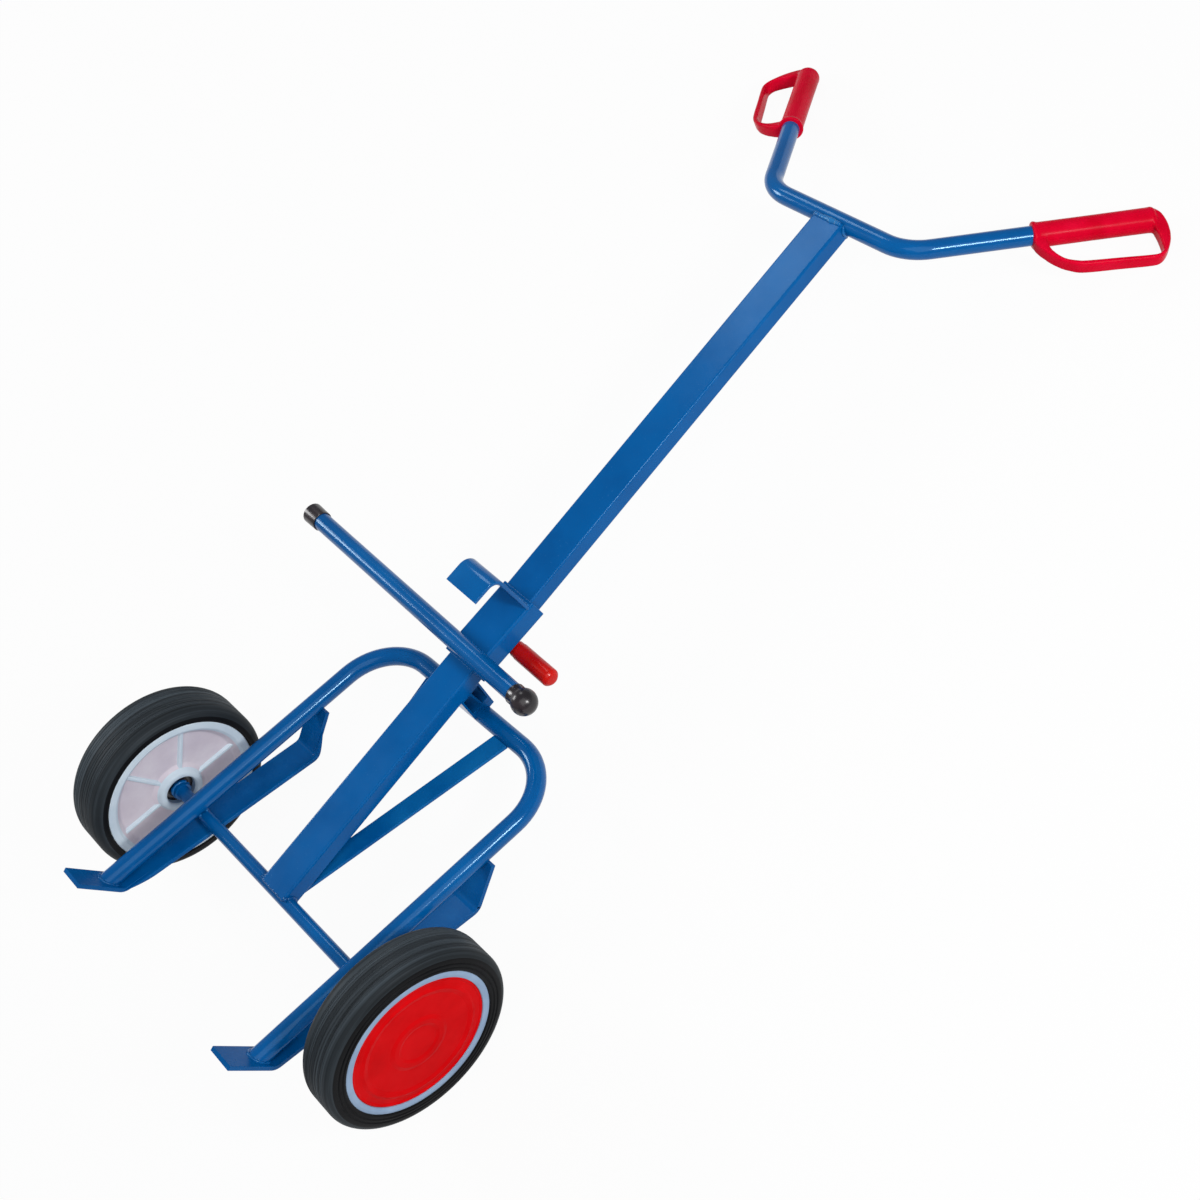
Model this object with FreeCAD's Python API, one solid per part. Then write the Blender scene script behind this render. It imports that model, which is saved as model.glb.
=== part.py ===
import FreeCAD
import Part
import math
import os

Vector = FreeCAD.Vector

# A two-wheeled drum trolley, lying back on its wheels and hand grips.
# Working frame, in millimetres: origin at the middle of the axle, X to the right as seen from
# the drum, Y up along the spine, Z towards the drum. The whole part is moved at the end so that its
# origin is the middle of its footprint.

# General
CUT_OVERRUN = 5.0
FULL_TURN = 360.0
MATCH_SHARE = 0.001
ALONG_SHARE = 0.9

# Wheels
WHEEL_RADIUS = 125.0
TYRE_WIDTH = 66.0
TYRE_SHOULDER = 9.0
TYRE_BEAD_LIP = 2.0
WHEEL_TRACK = 544.0
RIM_RADIUS = 99.0
RIM_WALL = 9.0
RIM_SETBACK = 1.5
INNER_FLANGE_RADIUS = 106.0
INNER_FLANGE_WIDTH = 5.0
INNER_RING_WIDTH = 10.0
HUB_WEB = 6.0
HUB_WEB_RECESS = 12.0
HUB_BOSS_RADIUS = 31.0
HUB_BOSS_RECESS = 3.0
HUB_BOSS_LENGTH = 48.0
HUB_RIB_COUNT = 6
HUB_RIB_WIDTH = 5.0
HUB_RIB_HEIGHT = 6.0
HUB_RIB_PHASE = 15.0
BUSH_RADIUS = 17.5
BUSH_CLEARANCE = 0.06

# Red cap on the outer face of each wheel
CAP_THICKNESS = 2.5
CAP_EDGE_RECESS = 2.0
CAP_LEDGE = 6.0
CAP_DOME = 1.6
CAP_STEP = 1.2
CAP_STEP_OUTER_RADIUS = 73.0
CAP_STEP_INNER_RADIUS = 31.0

# Axle
AXLE_DIAMETER = 18.0
AXLE_END_STICKOUT = 6.0
COLLAR_RADIUS = 12.0
COLLAR_LENGTH = 8.0
RETAINER_RADIUS = 15.0
RETAINER_THICKNESS = 3.0
RUNNING_GAP = 0.3

# Spine, a rectangular tube
SPINE_WIDTH = 50.0
SPINE_DEPTH = 25.0
SPINE_WALL = 2.5
SPINE_CORNER = 3.0

# Bent frame tube with two legs and a crossbar
FRAME_TUBE_DIAMETER = 25.0
FRAME_TUBE_WALL = 2.0
STRIP_COLLAR_GAP = 33.7
LEG_LEAN = 14.15
LEG_RISE = 335.0
FRAME_BEND_RADIUS = 78.0

# Toe strips, flat bar bent in the side view
STRIP_WIDTH = 38.0
STRIP_THICKNESS = 6.0
STRIP_BEND_RADIUS = 14.0
RUN_LEAN = 22.3
HEEL_DROP = 136.0
RUN_RISE = 162.0
TOE_LENGTH = 72.0
TOE_LEAN = 16.7
TAIL_LEAN = 32.0
TAIL_SEAT = 4.0

# Bracket between the spine and the frame crossbar
BRACKET_WIDTH = 46.0
BRACKET_TOP_RISE = 27.0
BRACKET_REAR_RISE = 20.5
BRACKET_FOOT_DROP = 7.0
BRACKET_WEB_RISE = 9.0
BRACKET_WALL = 3.0
BRACKET_TUBE_WALL = 4.0

# Flat braces from the crossbar down to the foot of the spine
BRACE_WIDTH = 26.0
BRACE_THICKNESS = 5.0
BRACE_BEND_GAP = 27.0
BRACE_FOOT_OFFSET = 7.0
BRACE_FOOT_RISE = 22.0
BRACE_MIDDLE_GAP = 0.5

# Handlebar
HANDLE_RISE = 1103.3
HANDLE_TUBE_DIAMETER = 25.0
HANDLE_TUBE_WALL = 2.0
HANDLE_CORNER_OFFSET = 120.7
HANDLE_BEND_RADIUS = 62.0
HANDLE_SADDLE_DEPTH = 5.5
ARM_LENGTH = 309.0
ARM_SPLAY = 38.9

# Hand grips with a closed knuckle guard
GRIP_LENGTH = 152.0
GRIP_WALL = 3.5
GRIP_END_WALL = 5.0
GRIP_EDGE = 3.0
GRIP_FLANGE_RADIUS = 18.0
GRIP_FLANGE_LENGTH = 5.0
GUARD_REACH = 67.0
GUARD_WIDTH = 19.0

# Outlines of the guard and its opening, as shares of the grip's length and of the guard's reach
GUARD_SHARES = ((0.03, 0.05), (0.07, 0.36), (0.097, 0.515), (0.15, 0.7), (0.245, 0.845), (0.35, 0.94),
                (0.62, 0.97), (0.88, 1.0), (0.94, 0.945), (0.985, 0.825), (1.03, 0.6), (1.042, 0.43),
                (1.035, 0.25), (0.98, 0.05), (0.5, 0.02))
GUARD_OPENING_SHARES = ((0.18, 0.213), (0.188, 0.37), (0.217, 0.535), (0.265, 0.67), (0.335, 0.785),
                        (0.42, 0.84), (0.66, 0.88), (0.88, 0.92), (0.935, 0.9), (0.96, 0.835),
                        (0.965, 0.6), (0.96, 0.39), (0.95, 0.213), (0.57, 0.195))

# Sliding carriage on the spine
SLEEVE_GAP = 0.5
SLEEVE_SIDE_GAP = 2.5
SLEEVE_WALL = 3.0
SLEEVE_LENGTH = 113.0
SLEEVE_BRACKET_GAP = 5.9
SLEEVE_CORNER = 4.0
CARRIAGE_SKEW = 2.0

# Rim hook on the carriage
HOOK_WIDTH = 60.0
HOOK_THICKNESS = 5.0
HOOK_REACH = 81.0
HOOK_DROP = 39.0
HOOK_BEND_RADIUS = 9.0
HOOK_SETDOWN = 6.0

# Cross bar on the carriage
BAR_DIAMETER = 25.0
BAR_WALL = 2.0
BAR_RISE = 15.5
BAR_LEFT_REACH = 347.0
BAR_RIGHT_REACH = 128.0
BAR_CAP_WALL = 2.0
BAR_CAP_LENGTH = 14.0

# Locking lever behind the carriage
LEVER_RISE = 58.0
LEVER_PIN_SETBACK = 11.5
LEVER_PIN_RADIUS = 4.0
LEVER_PIN_HEAD_RADIUS = 6.0
LEVER_PIN_HEAD = 2.5
LEVER_PIN_CLEARANCE = 0.06
LEVER_EYE_RADIUS = 8.0
LEVER_EYE_GAP = 0.3
LEVER_NOSE_WIDTH = 9.0
LEVER_NOSE_HEIGHT = 18.0
LEVER_NOSE_GAP = 0.3
LEVER_ROD_RADIUS = 6.0
LEVER_LENGTH = 99.0
LEVER_GRIP_RADIUS = 10.3
LEVER_GRIP_START = 22.0
LEVER_GRIP_END_WALL = 8.0
LEVER_GRIP_EDGE = 7.0
EAR_SPACING = 26.0
EAR_THICKNESS = 4.0
EAR_WIDTH = 24.0
LUG_BASE = 3.0
LUG_BASE_WIDTH = 38.0
LUG_MARGIN = 6.0
CAM_WINDOW_WIDTH = 30.0
CAM_WINDOW_HEIGHT = 24.0

# Values worked out from the sizes above
axle_radius = AXLE_DIAMETER / 2
frame_radius = FRAME_TUBE_DIAMETER / 2
handle_radius = HANDLE_TUBE_DIAMETER / 2
grip_radius = handle_radius + GRIP_WALL
bar_radius = BAR_DIAMETER / 2
half_track = WHEEL_TRACK / 2
half_tyre = TYRE_WIDTH / 2
spine_front = SPINE_DEPTH / 2
sleeve_half_width = SPINE_WIDTH / 2 + SLEEVE_SIDE_GAP + SLEEVE_WALL
sleeve_front = spine_front + SLEEVE_GAP + SLEEVE_WALL
boss_inner = half_tyre - HUB_BOSS_RECESS
boss_outer = HUB_BOSS_LENGTH - boss_inner
rim_edge = half_tyre - RIM_SETBACK
rim_inner = RIM_RADIUS - RIM_WALL
web_inner = -rim_edge + HUB_WEB_RECESS
cap_seat = rim_edge - CAP_EDGE_RECESS - CAP_THICKNESS
collar_end = half_track - boss_inner - RUNNING_GAP - COLLAR_LENGTH
half_legs = collar_end - STRIP_COLLAR_GAP - STRIP_WIDTH / 2
lever_z = -sleeve_front - LEVER_PIN_SETBACK
leg_lean = math.radians(LEG_LEAN)
run_lean = math.radians(RUN_LEAN)
toe_lean = math.radians(TOE_LEAN)
tail_lean = math.radians(TAIL_LEAN)
arm_splay = math.radians(ARM_SPLAY)
carriage_skew = math.radians(CARRIAGE_SKEW)

X_AXIS = Vector(1, 0, 0)
Z_AXIS = Vector(0, 0, 1)
ORIGIN = Vector(0, 0, 0)


def side(y, z):
    """A point of the middle plane given by its place in the side view."""
    return Vector(0, y, z)


def lean_direction(angle):
    """Direction in the side view that climbs the spine and leans back by an angle in radians."""
    return Vector(0, math.cos(angle), -math.sin(angle))


def front_normal(angle):
    """Direction square to lean_direction, towards the drum."""
    return Vector(0, math.sin(angle), math.cos(angle))


def meet(point, direction, other, other_direction):
    """Where two lines of the side view cross."""
    gap = other - point
    cross = direction.y * other_direction.z - direction.z * other_direction.y
    share = (gap.y * other_direction.z - gap.z * other_direction.y) / cross
    return point + direction * share


def unit(vector):
    """A copy of a vector with length one."""
    return vector * (1.0 / vector.Length)


def mirror(shape):
    """The same solid on the other side of the trolley."""
    return shape.mirror(ORIGIN, X_AXIS)


def rod(start, end, radius):
    """A round bar between two points."""
    span = end - start
    return Part.makeCylinder(radius, span.Length, start, unit(span))


def block(low, high):
    """A box between two opposite corners."""
    size = high - low
    return Part.makeBox(size.x, size.y, size.z, low)


def rounded_path(points, radius):
    """A wire of straight runs through the points, with a tangent arc at each inner point."""
    edges = []
    start = points[0]
    for before, corner, after in zip(points, points[1:], points[2:]):
        into = unit(corner - before)
        out = unit(after - corner)
        half_turn = into.getAngle(out) / 2
        inset = radius * math.tan(half_turn)
        first = corner - into * inset
        last = corner + out * inset
        bisector = unit(out - into)
        middle = corner + bisector * (radius / math.cos(half_turn) - radius)
        edges.append(Part.makeLine(start, first))
        edges.append(Part.Arc(first, middle, last).toShape())
        start = last
    edges.append(Part.makeLine(start, points[-1]))
    return Part.Wire(edges)


def swept_round(path, radius):
    """A solid round bar along a path."""
    first = path.Edges[0]
    start = first.valueAt(first.FirstParameter)
    direction = first.tangentAt(first.FirstParameter)
    section = Part.Wire([Part.makeCircle(radius, start, direction)])
    return path.makePipeShell([section], True, False)


def bent_tube(points, bend_radius, radius, wall):
    """A round tube with open ends along straight runs and bends."""
    path = rounded_path(points, bend_radius)
    return swept_round(path, radius).cut(swept_round(path, radius - wall))


def ribbon(points, bend_radius, thickness, across):
    """A flat bar bent along points in one plane, as wide as the vector across."""
    normal = unit(across)
    left = []
    right = []
    half = thickness / 2
    directions = [unit(b - a) for a, b in zip(points, points[1:])]
    left.append(points[0] + normal.cross(directions[0]) * half)
    right.append(points[0] - normal.cross(directions[0]) * half)
    left_edges = []
    right_edges = []
    for corner, into, out in zip(points[1:], directions, directions[1:]):
        half_turn = into.getAngle(out) / 2
        inset = bend_radius * math.tan(half_turn)
        bisector = unit(out - into)
        centre = corner + bisector * (bend_radius / math.cos(half_turn))
        turn_side = 1.0 if normal.cross(into).dot(bisector) > 0 else -1.0
        for row, edges, sign in ((left, left_edges, 1.0), (right, right_edges, -1.0)):
            radius = bend_radius - sign * turn_side * half
            first = corner - into * inset + normal.cross(into) * (sign * half)
            last = corner + out * inset + normal.cross(out) * (sign * half)
            edges.append(Part.makeLine(row[-1], first))
            edges.append(Part.Arc(first, centre - bisector * radius, last).toShape())
            row.append(last)
    left_end = points[-1] + normal.cross(directions[-1]) * half
    right_end = points[-1] - normal.cross(directions[-1]) * half
    left_edges.append(Part.makeLine(left[-1], left_end))
    right_edges.append(Part.makeLine(right[-1], right_end))
    ends = [Part.makeLine(left[0], right[0]), Part.makeLine(left_end, right_end)]
    outline = Part.Wire(Part.__sortEdges__(left_edges + right_edges + ends))
    face = Part.Face(outline)
    face.translate(across / -2)
    return face.extrude(across)


def plate(points, across):
    """A flat plate with a straight-sided outline, as thick as the vector across."""
    face = Part.Face(Part.makePolygon(points + points[:1]))
    face.translate(across / -2)
    return face.extrude(across)


def spun(profile):
    """A solid of revolution about X from (radius, place along X) points."""
    points = [Vector(place, radius, 0) for radius, place in profile]
    face = Part.Face(Part.makePolygon(points + points[:1]))
    return face.revolve(ORIGIN, X_AXIS, FULL_TURN)


def ring(outer, inner, low, high):
    """A round ring about X."""
    return spun([(inner, low), (outer, low), (outer, high), (inner, high)])


def upright_tube(width, depth, wall, corner, low, high):
    """A rectangular tube along Y with rounded outer corners."""
    def bar(half_width, half_depth, radius):
        box = block(Vector(-half_width, low, -half_depth), Vector(half_width, high, half_depth))
        along = [edge for edge in box.Edges if abs(edge.tangentAt(edge.FirstParameter).y) > ALONG_SHARE]
        return box.makeFillet(radius, along) if radius > 0 else box
    outer = bar(width / 2, depth / 2, corner)
    inner = bar(width / 2 - wall, depth / 2 - wall, max(corner - wall, 0.0))
    return outer.cut(inner)


def largest(shape):
    """The main solid left after a cut."""
    return max(shape.Solids, key=lambda solid: solid.Volume)


# Side view lines and points shared by several pieces
leg_direction = lean_direction(leg_lean)
leg_base = front_normal(leg_lean) * (axle_radius + frame_radius)
crossbar_centre = leg_base + leg_direction * LEG_RISE
bracket_top = crossbar_centre.y + BRACKET_TOP_RISE

sleeve_rise = bracket_top + SLEEVE_BRACKET_GAP
sleeve_top = sleeve_rise + SLEEVE_LENGTH
sleeve_middle = side(sleeve_rise + SLEEVE_LENGTH / 2, 0.0)
bar_centre = side(sleeve_rise + BAR_RISE, sleeve_front + bar_radius)
lever_y = sleeve_rise + LEVER_RISE

run_direction = lean_direction(run_lean)
run_base = front_normal(run_lean) * -(axle_radius + STRIP_THICKNESS / 2)
heel = run_base - run_direction * HEEL_DROP
shoulder = run_base + run_direction * RUN_RISE
toe_direction = front_normal(-toe_lean)
toe_tip = heel + toe_direction * TOE_LENGTH
tail_direction = lean_direction(-tail_lean)
leg_back = leg_base - front_normal(leg_lean) * frame_radius
tail_end = meet(shoulder, tail_direction, leg_back, leg_direction) + tail_direction * TAIL_SEAT
leg_foot = meet(leg_base, leg_direction, heel, toe_direction)

# The arms fall back just far enough for the grip ends to rest level with the tyres
rest_span = ARM_LENGTH - GRIP_EDGE
rest_radius = grip_radius - GRIP_EDGE
arm_drop = (math.asin((WHEEL_RADIUS - GRIP_EDGE) / math.hypot(rest_span, rest_radius))
            - math.atan2(rest_radius, rest_span))
arm_direction = Vector(math.sin(arm_splay) * math.cos(arm_drop),
                       math.cos(arm_splay) * math.cos(arm_drop), -math.sin(arm_drop))
arm_root = Vector(HANDLE_CORNER_OFFSET, HANDLE_RISE, 0)
guard_direction = unit(arm_direction.cross(Z_AXIS))
guard_across = arm_direction.cross(guard_direction) * GUARD_WIDTH
grip_start = arm_root + arm_direction * (ARM_LENGTH - GRIP_LENGTH)
grip_end = arm_root + arm_direction * ARM_LENGTH


def edges_at(shape, centre, radius):
    """Circular edges of a shape with a given centre and radius."""
    found = []
    for edge in shape.Edges:
        curve = edge.Curve
        if isinstance(curve, Part.Circle) and abs(curve.Radius - radius) < radius * MATCH_SHARE:
            if (curve.Center - centre).Length < radius * MATCH_SHARE:
                found.append(edge)
    return found


# Fixed frame


def axle_rod():
    end = half_track + boss_outer + AXLE_END_STICKOUT
    return rod(X_AXIS * -end, X_AXIS * end, axle_radius)


def crossbar_solid():
    """The straight crossbar as a full bar, for trimming what is welded to it."""
    return rod(crossbar_centre - X_AXIS * half_legs, crossbar_centre + X_AXIS * half_legs,
               frame_radius)


def spine_tube():
    """The spine, shaped at both ends to sit on the axle and under the handlebar."""
    top = HANDLE_RISE - handle_radius + HANDLE_SADDLE_DEPTH
    tube = upright_tube(SPINE_WIDTH, SPINE_DEPTH, SPINE_WALL, SPINE_CORNER, 0.0, top)
    handle = rod(Vector(-SPINE_WIDTH, HANDLE_RISE, 0), Vector(SPINE_WIDTH, HANDLE_RISE, 0),
                 handle_radius)
    return largest(tube.cut(axle_rod()).cut(handle))


def right_toe_strip():
    """Flat bar from the toe, behind the axle, back to the leg, shaped to the leg at its end."""
    points = [toe_tip, heel, shoulder, tail_end]
    strip = ribbon(points, STRIP_BEND_RADIUS, STRIP_THICKNESS, X_AXIS * STRIP_WIDTH)
    strip.translate(X_AXIS * half_legs)
    start = X_AXIS * half_legs + leg_base
    leg = rod(start, start + leg_direction * LEG_RISE, frame_radius)
    return largest(strip.cut(leg))


def u_frame_tube(right_strip):
    """One bent tube with two legs and a crossbar, cut off on the toe strips."""
    right = X_AXIS * half_legs
    below = leg_foot - leg_direction * CUT_OVERRUN
    points = [below - right, crossbar_centre - right, crossbar_centre + right, below + right]
    tube = bent_tube(points, FRAME_BEND_RADIUS, frame_radius, FRAME_TUBE_WALL)
    toe_up = lean_direction(-toe_lean)
    toe_top = heel + toe_up * (STRIP_THICKNESS / 2)
    corners = [toe_top - toe_direction * TOE_LENGTH, toe_top + toe_direction * TOE_LENGTH]
    corners += [point - toe_up * TOE_LENGTH for point in reversed(corners)]
    below_toes = plate(corners, X_AXIS * WHEEL_TRACK)
    return largest(tube.cut(below_toes).cut(right_strip).cut(mirror(right_strip)))


def spine_bracket():
    """Folded bracket behind the spine with two windows, seated round the crossbar."""
    back = -spine_front
    span = crossbar_centre.z - back
    rear = crossbar_centre.z + frame_radius + BRACKET_TUBE_WALL
    front = back - BRACKET_WALL
    web = crossbar_centre.y + BRACKET_WEB_RISE

    def top(z):
        fall = (BRACKET_TOP_RISE - BRACKET_REAR_RISE) * (z - back) / span
        return bracket_top - fall

    def foot(z):
        fall = (frame_radius - BRACKET_FOOT_DROP) * (z - back) / span
        return crossbar_centre.y - BRACKET_FOOT_DROP - fall

    outline = [side(foot(back), back), side(top(back), back),
               side(top(crossbar_centre.z), crossbar_centre.z),
               side(foot(crossbar_centre.z), crossbar_centre.z)]
    half_wall = BRACKET_WALL / 2
    upper = [side(web + half_wall, front), side(top(front) - BRACKET_WALL, front),
             side(top(rear) - BRACKET_WALL, rear), side(web + half_wall, rear)]
    lower = [side(foot(front) + BRACKET_WALL, front), side(web - half_wall, front),
             side(web - half_wall, rear), side(foot(rear) + BRACKET_WALL, rear)]
    across = X_AXIS * BRACKET_WIDTH
    body = plate(outline, across).cut(crossbar_solid())
    for window in (upper, lower):
        body = body.cut(plate(window, across * 2))
    return largest(body)


def right_brace():
    """Flat brace from the crossbar to the back of the spine, trimmed to both."""
    foot = Vector(BRACE_FOOT_OFFSET, BRACE_FOOT_RISE, -spine_front - BRACE_THICKNESS / 2)
    top = crossbar_centre + X_AXIS * (half_legs - FRAME_BEND_RADIUS - BRACE_BEND_GAP)
    along = unit(top - foot)
    wide = unit(X_AXIS - along * along.x) * (BRACE_WIDTH / 2)
    thick = unit(along.cross(wide)) * BRACE_THICKNESS
    start = foot - along * BRACE_THICKNESS
    bar = plate([start - wide, start + wide, top + wide, top - wide], thick)
    reach = HANDLE_RISE
    before_spine = block(Vector(-reach, -reach, -spine_front), Vector(reach, reach, reach))
    other_half = block(Vector(-reach, -reach, -reach), Vector(BRACE_MIDDLE_GAP, reach, reach))
    return largest(bar.cut(before_spine).cut(other_half).cut(crossbar_solid()))


def handlebar_tube():
    """One bent tube: a straight middle on the spine and two arms that splay out and back."""
    tip = arm_root + arm_direction * (ARM_LENGTH - GRIP_END_WALL)
    points = [Vector(-tip.x, tip.y, tip.z), Vector(-arm_root.x, arm_root.y, arm_root.z), arm_root, tip]
    return bent_tube(points, HANDLE_BEND_RADIUS, handle_radius, HANDLE_TUBE_WALL)


def guard_plate(shares):
    """A plate beside the grip with a smooth outline through points given as shares."""
    points = []
    for along, out in shares:
        foot = grip_start + arm_direction * (along * GRIP_LENGTH)
        points.append(foot + guard_direction * (out * GUARD_REACH))
    curve = Part.BSplineCurve()
    curve.interpolate(points, PeriodicFlag=True)
    face = Part.Face(Part.Wire([curve.toShape()]))
    face.translate(guard_across / -2)
    return face.extrude(guard_across)


def right_grip():
    """Moulded grip pushed over the tube end, with a closed guard for the knuckles."""
    body = rod(grip_start, grip_end, grip_radius)
    body = body.makeFillet(GRIP_EDGE, edges_at(body, grip_end, grip_radius))
    flange = rod(grip_start, grip_start + arm_direction * GRIP_FLANGE_LENGTH, GRIP_FLANGE_RADIUS)
    guard = guard_plate(GUARD_SHARES).cut(guard_plate(GUARD_OPENING_SHARES))
    bore = rod(grip_start - arm_direction * CUT_OVERRUN, grip_end - arm_direction * GRIP_END_WALL,
               handle_radius)
    return largest(body.fuse(flange).fuse(guard).cut(bore))


# Sliding carriage and its locking lever


def cam_window():
    """The opening through which the lever's cam reaches the spine."""
    half_width = CAM_WINDOW_WIDTH / 2
    half_height = CAM_WINDOW_HEIGHT / 2
    depth = sleeve_front + LUG_BASE + CUT_OVERRUN
    return block(Vector(-half_width, lever_y - half_height, -depth),
                 Vector(half_width, lever_y + half_height, -spine_front))


def carriage_sleeve():
    tube = upright_tube(2 * sleeve_half_width, 2 * sleeve_front, SLEEVE_WALL, SLEEVE_CORNER,
                        sleeve_rise, sleeve_top)
    return largest(tube.cut(cam_window()))


def rim_hook():
    """Bent plate that reaches over the rim of a drum."""
    height = sleeve_top - HOOK_SETDOWN - HOOK_THICKNESS / 2
    lip = sleeve_front + HOOK_REACH
    points = [side(height, sleeve_front), side(height, lip), side(height - HOOK_DROP, lip)]
    return ribbon(points, HOOK_BEND_RADIUS, HOOK_THICKNESS, X_AXIS * HOOK_WIDTH)


def cross_bar():
    left = bar_centre - X_AXIS * BAR_LEFT_REACH
    right = bar_centre + X_AXIS * BAR_RIGHT_REACH
    return rod(left, right, bar_radius).cut(rod(left, right, bar_radius - BAR_WALL))


def bar_cap(reach, sign):
    """Round-ended cap pushed over one end of the cross bar."""
    outer = bar_radius + BAR_CAP_WALL
    end = bar_centre + X_AXIS * (sign * reach)
    skirt_end = end - X_AXIS * (sign * BAR_CAP_LENGTH)
    skirt = rod(skirt_end, end, outer)
    bore = rod(skirt_end - X_AXIS * (sign * CUT_OVERRUN), end, bar_radius)
    return largest(skirt.fuse(Part.makeSphere(outer, end)).cut(bore))


def lever_axis(y, x=0.0, z=0.0):
    """A point on or beside the lever's pivot axis."""
    return Vector(x, y, lever_z + z)


def lever_bracket():
    """Base plate on the back of the sleeve with two ears for the pivot pin."""
    outside = EAR_SPACING / 2 + EAR_THICKNESS
    half_height = outside + LUG_MARGIN
    body = block(Vector(-LUG_BASE_WIDTH / 2, lever_y - half_height, -sleeve_front - LUG_BASE),
                 Vector(LUG_BASE_WIDTH / 2, lever_y + half_height, -sleeve_front))
    body = body.cut(cam_window())
    for low in (lever_y - outside, lever_y + EAR_SPACING / 2):
        high = low + EAR_THICKNESS
        ear = block(Vector(-EAR_WIDTH / 2, low, lever_z),
                    Vector(EAR_WIDTH / 2, high, -sleeve_front - LUG_BASE))
        body = body.fuse(ear).fuse(rod(lever_axis(low), lever_axis(high), EAR_WIDTH / 2))
    bore = rod(lever_axis(lever_y - half_height), lever_axis(lever_y + half_height), LEVER_PIN_RADIUS)
    sleeve = block(Vector(-EAR_WIDTH, sleeve_rise, -sleeve_front), Vector(EAR_WIDTH, sleeve_top, 0))
    return largest(body.cut(bore).cut(sleeve).removeSplitter())


def lever_pin():
    outside = EAR_SPACING / 2 + EAR_THICKNESS
    pin = rod(lever_axis(lever_y - outside), lever_axis(lever_y + outside), LEVER_PIN_RADIUS)
    for low in (lever_y - outside - LEVER_PIN_HEAD, lever_y + outside):
        pin = pin.fuse(rod(lever_axis(low), lever_axis(low + LEVER_PIN_HEAD), LEVER_PIN_HEAD_RADIUS))
    return largest(pin)


def lock_lever():
    """Lever with an eye on the pin, a cam nose that presses on the spine, and a round arm."""
    half_eye = EAR_SPACING / 2 - LEVER_EYE_GAP
    half_nose = LEVER_NOSE_WIDTH / 2
    nose_centre = LEVER_PIN_SETBACK + SLEEVE_GAP + SLEEVE_WALL - LEVER_NOSE_GAP - half_nose
    nose_low = lever_y - LEVER_NOSE_HEIGHT / 2
    nose_high = lever_y + LEVER_NOSE_HEIGHT / 2
    eye = rod(lever_axis(lever_y - half_eye), lever_axis(lever_y + half_eye), LEVER_EYE_RADIUS)
    neck = block(lever_axis(nose_low, -half_nose), lever_axis(nose_high, half_nose, nose_centre))
    nose = rod(lever_axis(nose_low, 0.0, nose_centre), lever_axis(nose_high, 0.0, nose_centre), half_nose)
    arm_end = LEVER_LENGTH - LEVER_GRIP_END_WALL
    arm = rod(lever_axis(lever_y), lever_axis(lever_y, arm_end), LEVER_ROD_RADIUS)
    bore = rod(lever_axis(lever_y - EAR_SPACING), lever_axis(lever_y + EAR_SPACING),
               LEVER_PIN_RADIUS + LEVER_PIN_CLEARANCE)
    return largest(eye.fuse(neck).fuse(nose).fuse(arm).cut(bore))


def lever_grip():
    start = lever_axis(lever_y, LEVER_GRIP_START)
    end = lever_axis(lever_y, LEVER_LENGTH)
    body = rod(start, end, LEVER_GRIP_RADIUS)
    body = body.makeFillet(LEVER_GRIP_EDGE, edges_at(body, end, LEVER_GRIP_RADIUS))
    bore = rod(start - X_AXIS * CUT_OVERRUN, end - X_AXIS * LEVER_GRIP_END_WALL, LEVER_ROD_RADIUS)
    return largest(body.cut(bore))


# Wheels, drawn about the axle with their outer face towards positive X


def tyre():
    flange_edge = -rim_edge + INNER_FLANGE_WIDTH
    body = spun([(RIM_RADIUS, rim_edge), (RIM_RADIUS + TYRE_BEAD_LIP, half_tyre),
                 (WHEEL_RADIUS, half_tyre), (WHEEL_RADIUS, -half_tyre),
                 (INNER_FLANGE_RADIUS + TYRE_BEAD_LIP, -half_tyre), (INNER_FLANGE_RADIUS, -rim_edge),
                 (INNER_FLANGE_RADIUS, flange_edge), (RIM_RADIUS, flange_edge)])
    corners = []
    for place in (-half_tyre, half_tyre):
        corners += edges_at(body, X_AXIS * place, WHEEL_RADIUS)
    return body.makeFillet(TYRE_SHOULDER, corners)


def hub():
    """Moulded hub: flared rim, thin web, ribs on the inner face and a boss for the bush."""
    flange_edge = -rim_edge + INNER_FLANGE_WIDTH
    web_outer = web_inner + HUB_WEB
    ledge = rim_inner - CAP_LEDGE
    body = spun([(INNER_FLANGE_RADIUS, -rim_edge), (INNER_FLANGE_RADIUS, flange_edge),
                 (RIM_RADIUS, flange_edge), (RIM_RADIUS, rim_edge),
                 (rim_inner, rim_edge), (rim_inner, cap_seat), (ledge, cap_seat), (ledge, web_outer),
                 (HUB_BOSS_RADIUS, web_outer), (HUB_BOSS_RADIUS, boss_outer),
                 (BUSH_RADIUS, boss_outer), (BUSH_RADIUS, -boss_inner),
                 (HUB_BOSS_RADIUS, -boss_inner), (HUB_BOSS_RADIUS, web_inner), (rim_inner, web_inner),
                 (INNER_FLANGE_RADIUS - INNER_RING_WIDTH, -rim_edge)])
    in_boss = (HUB_BOSS_RADIUS + BUSH_RADIUS) / 2
    in_rim = (rim_inner + RIM_RADIUS) / 2
    rib = block(Vector(web_inner - HUB_RIB_HEIGHT, in_boss, -HUB_RIB_WIDTH / 2),
                Vector(web_inner + HUB_WEB / 2, in_rim, HUB_RIB_WIDTH / 2))
    for index in range(HUB_RIB_COUNT):
        copy = rib.copy()
        copy.rotate(ORIGIN, X_AXIS, HUB_RIB_PHASE + index * FULL_TURN / HUB_RIB_COUNT)
        body = body.fuse(copy)
    return largest(body.removeSplitter())


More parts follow.
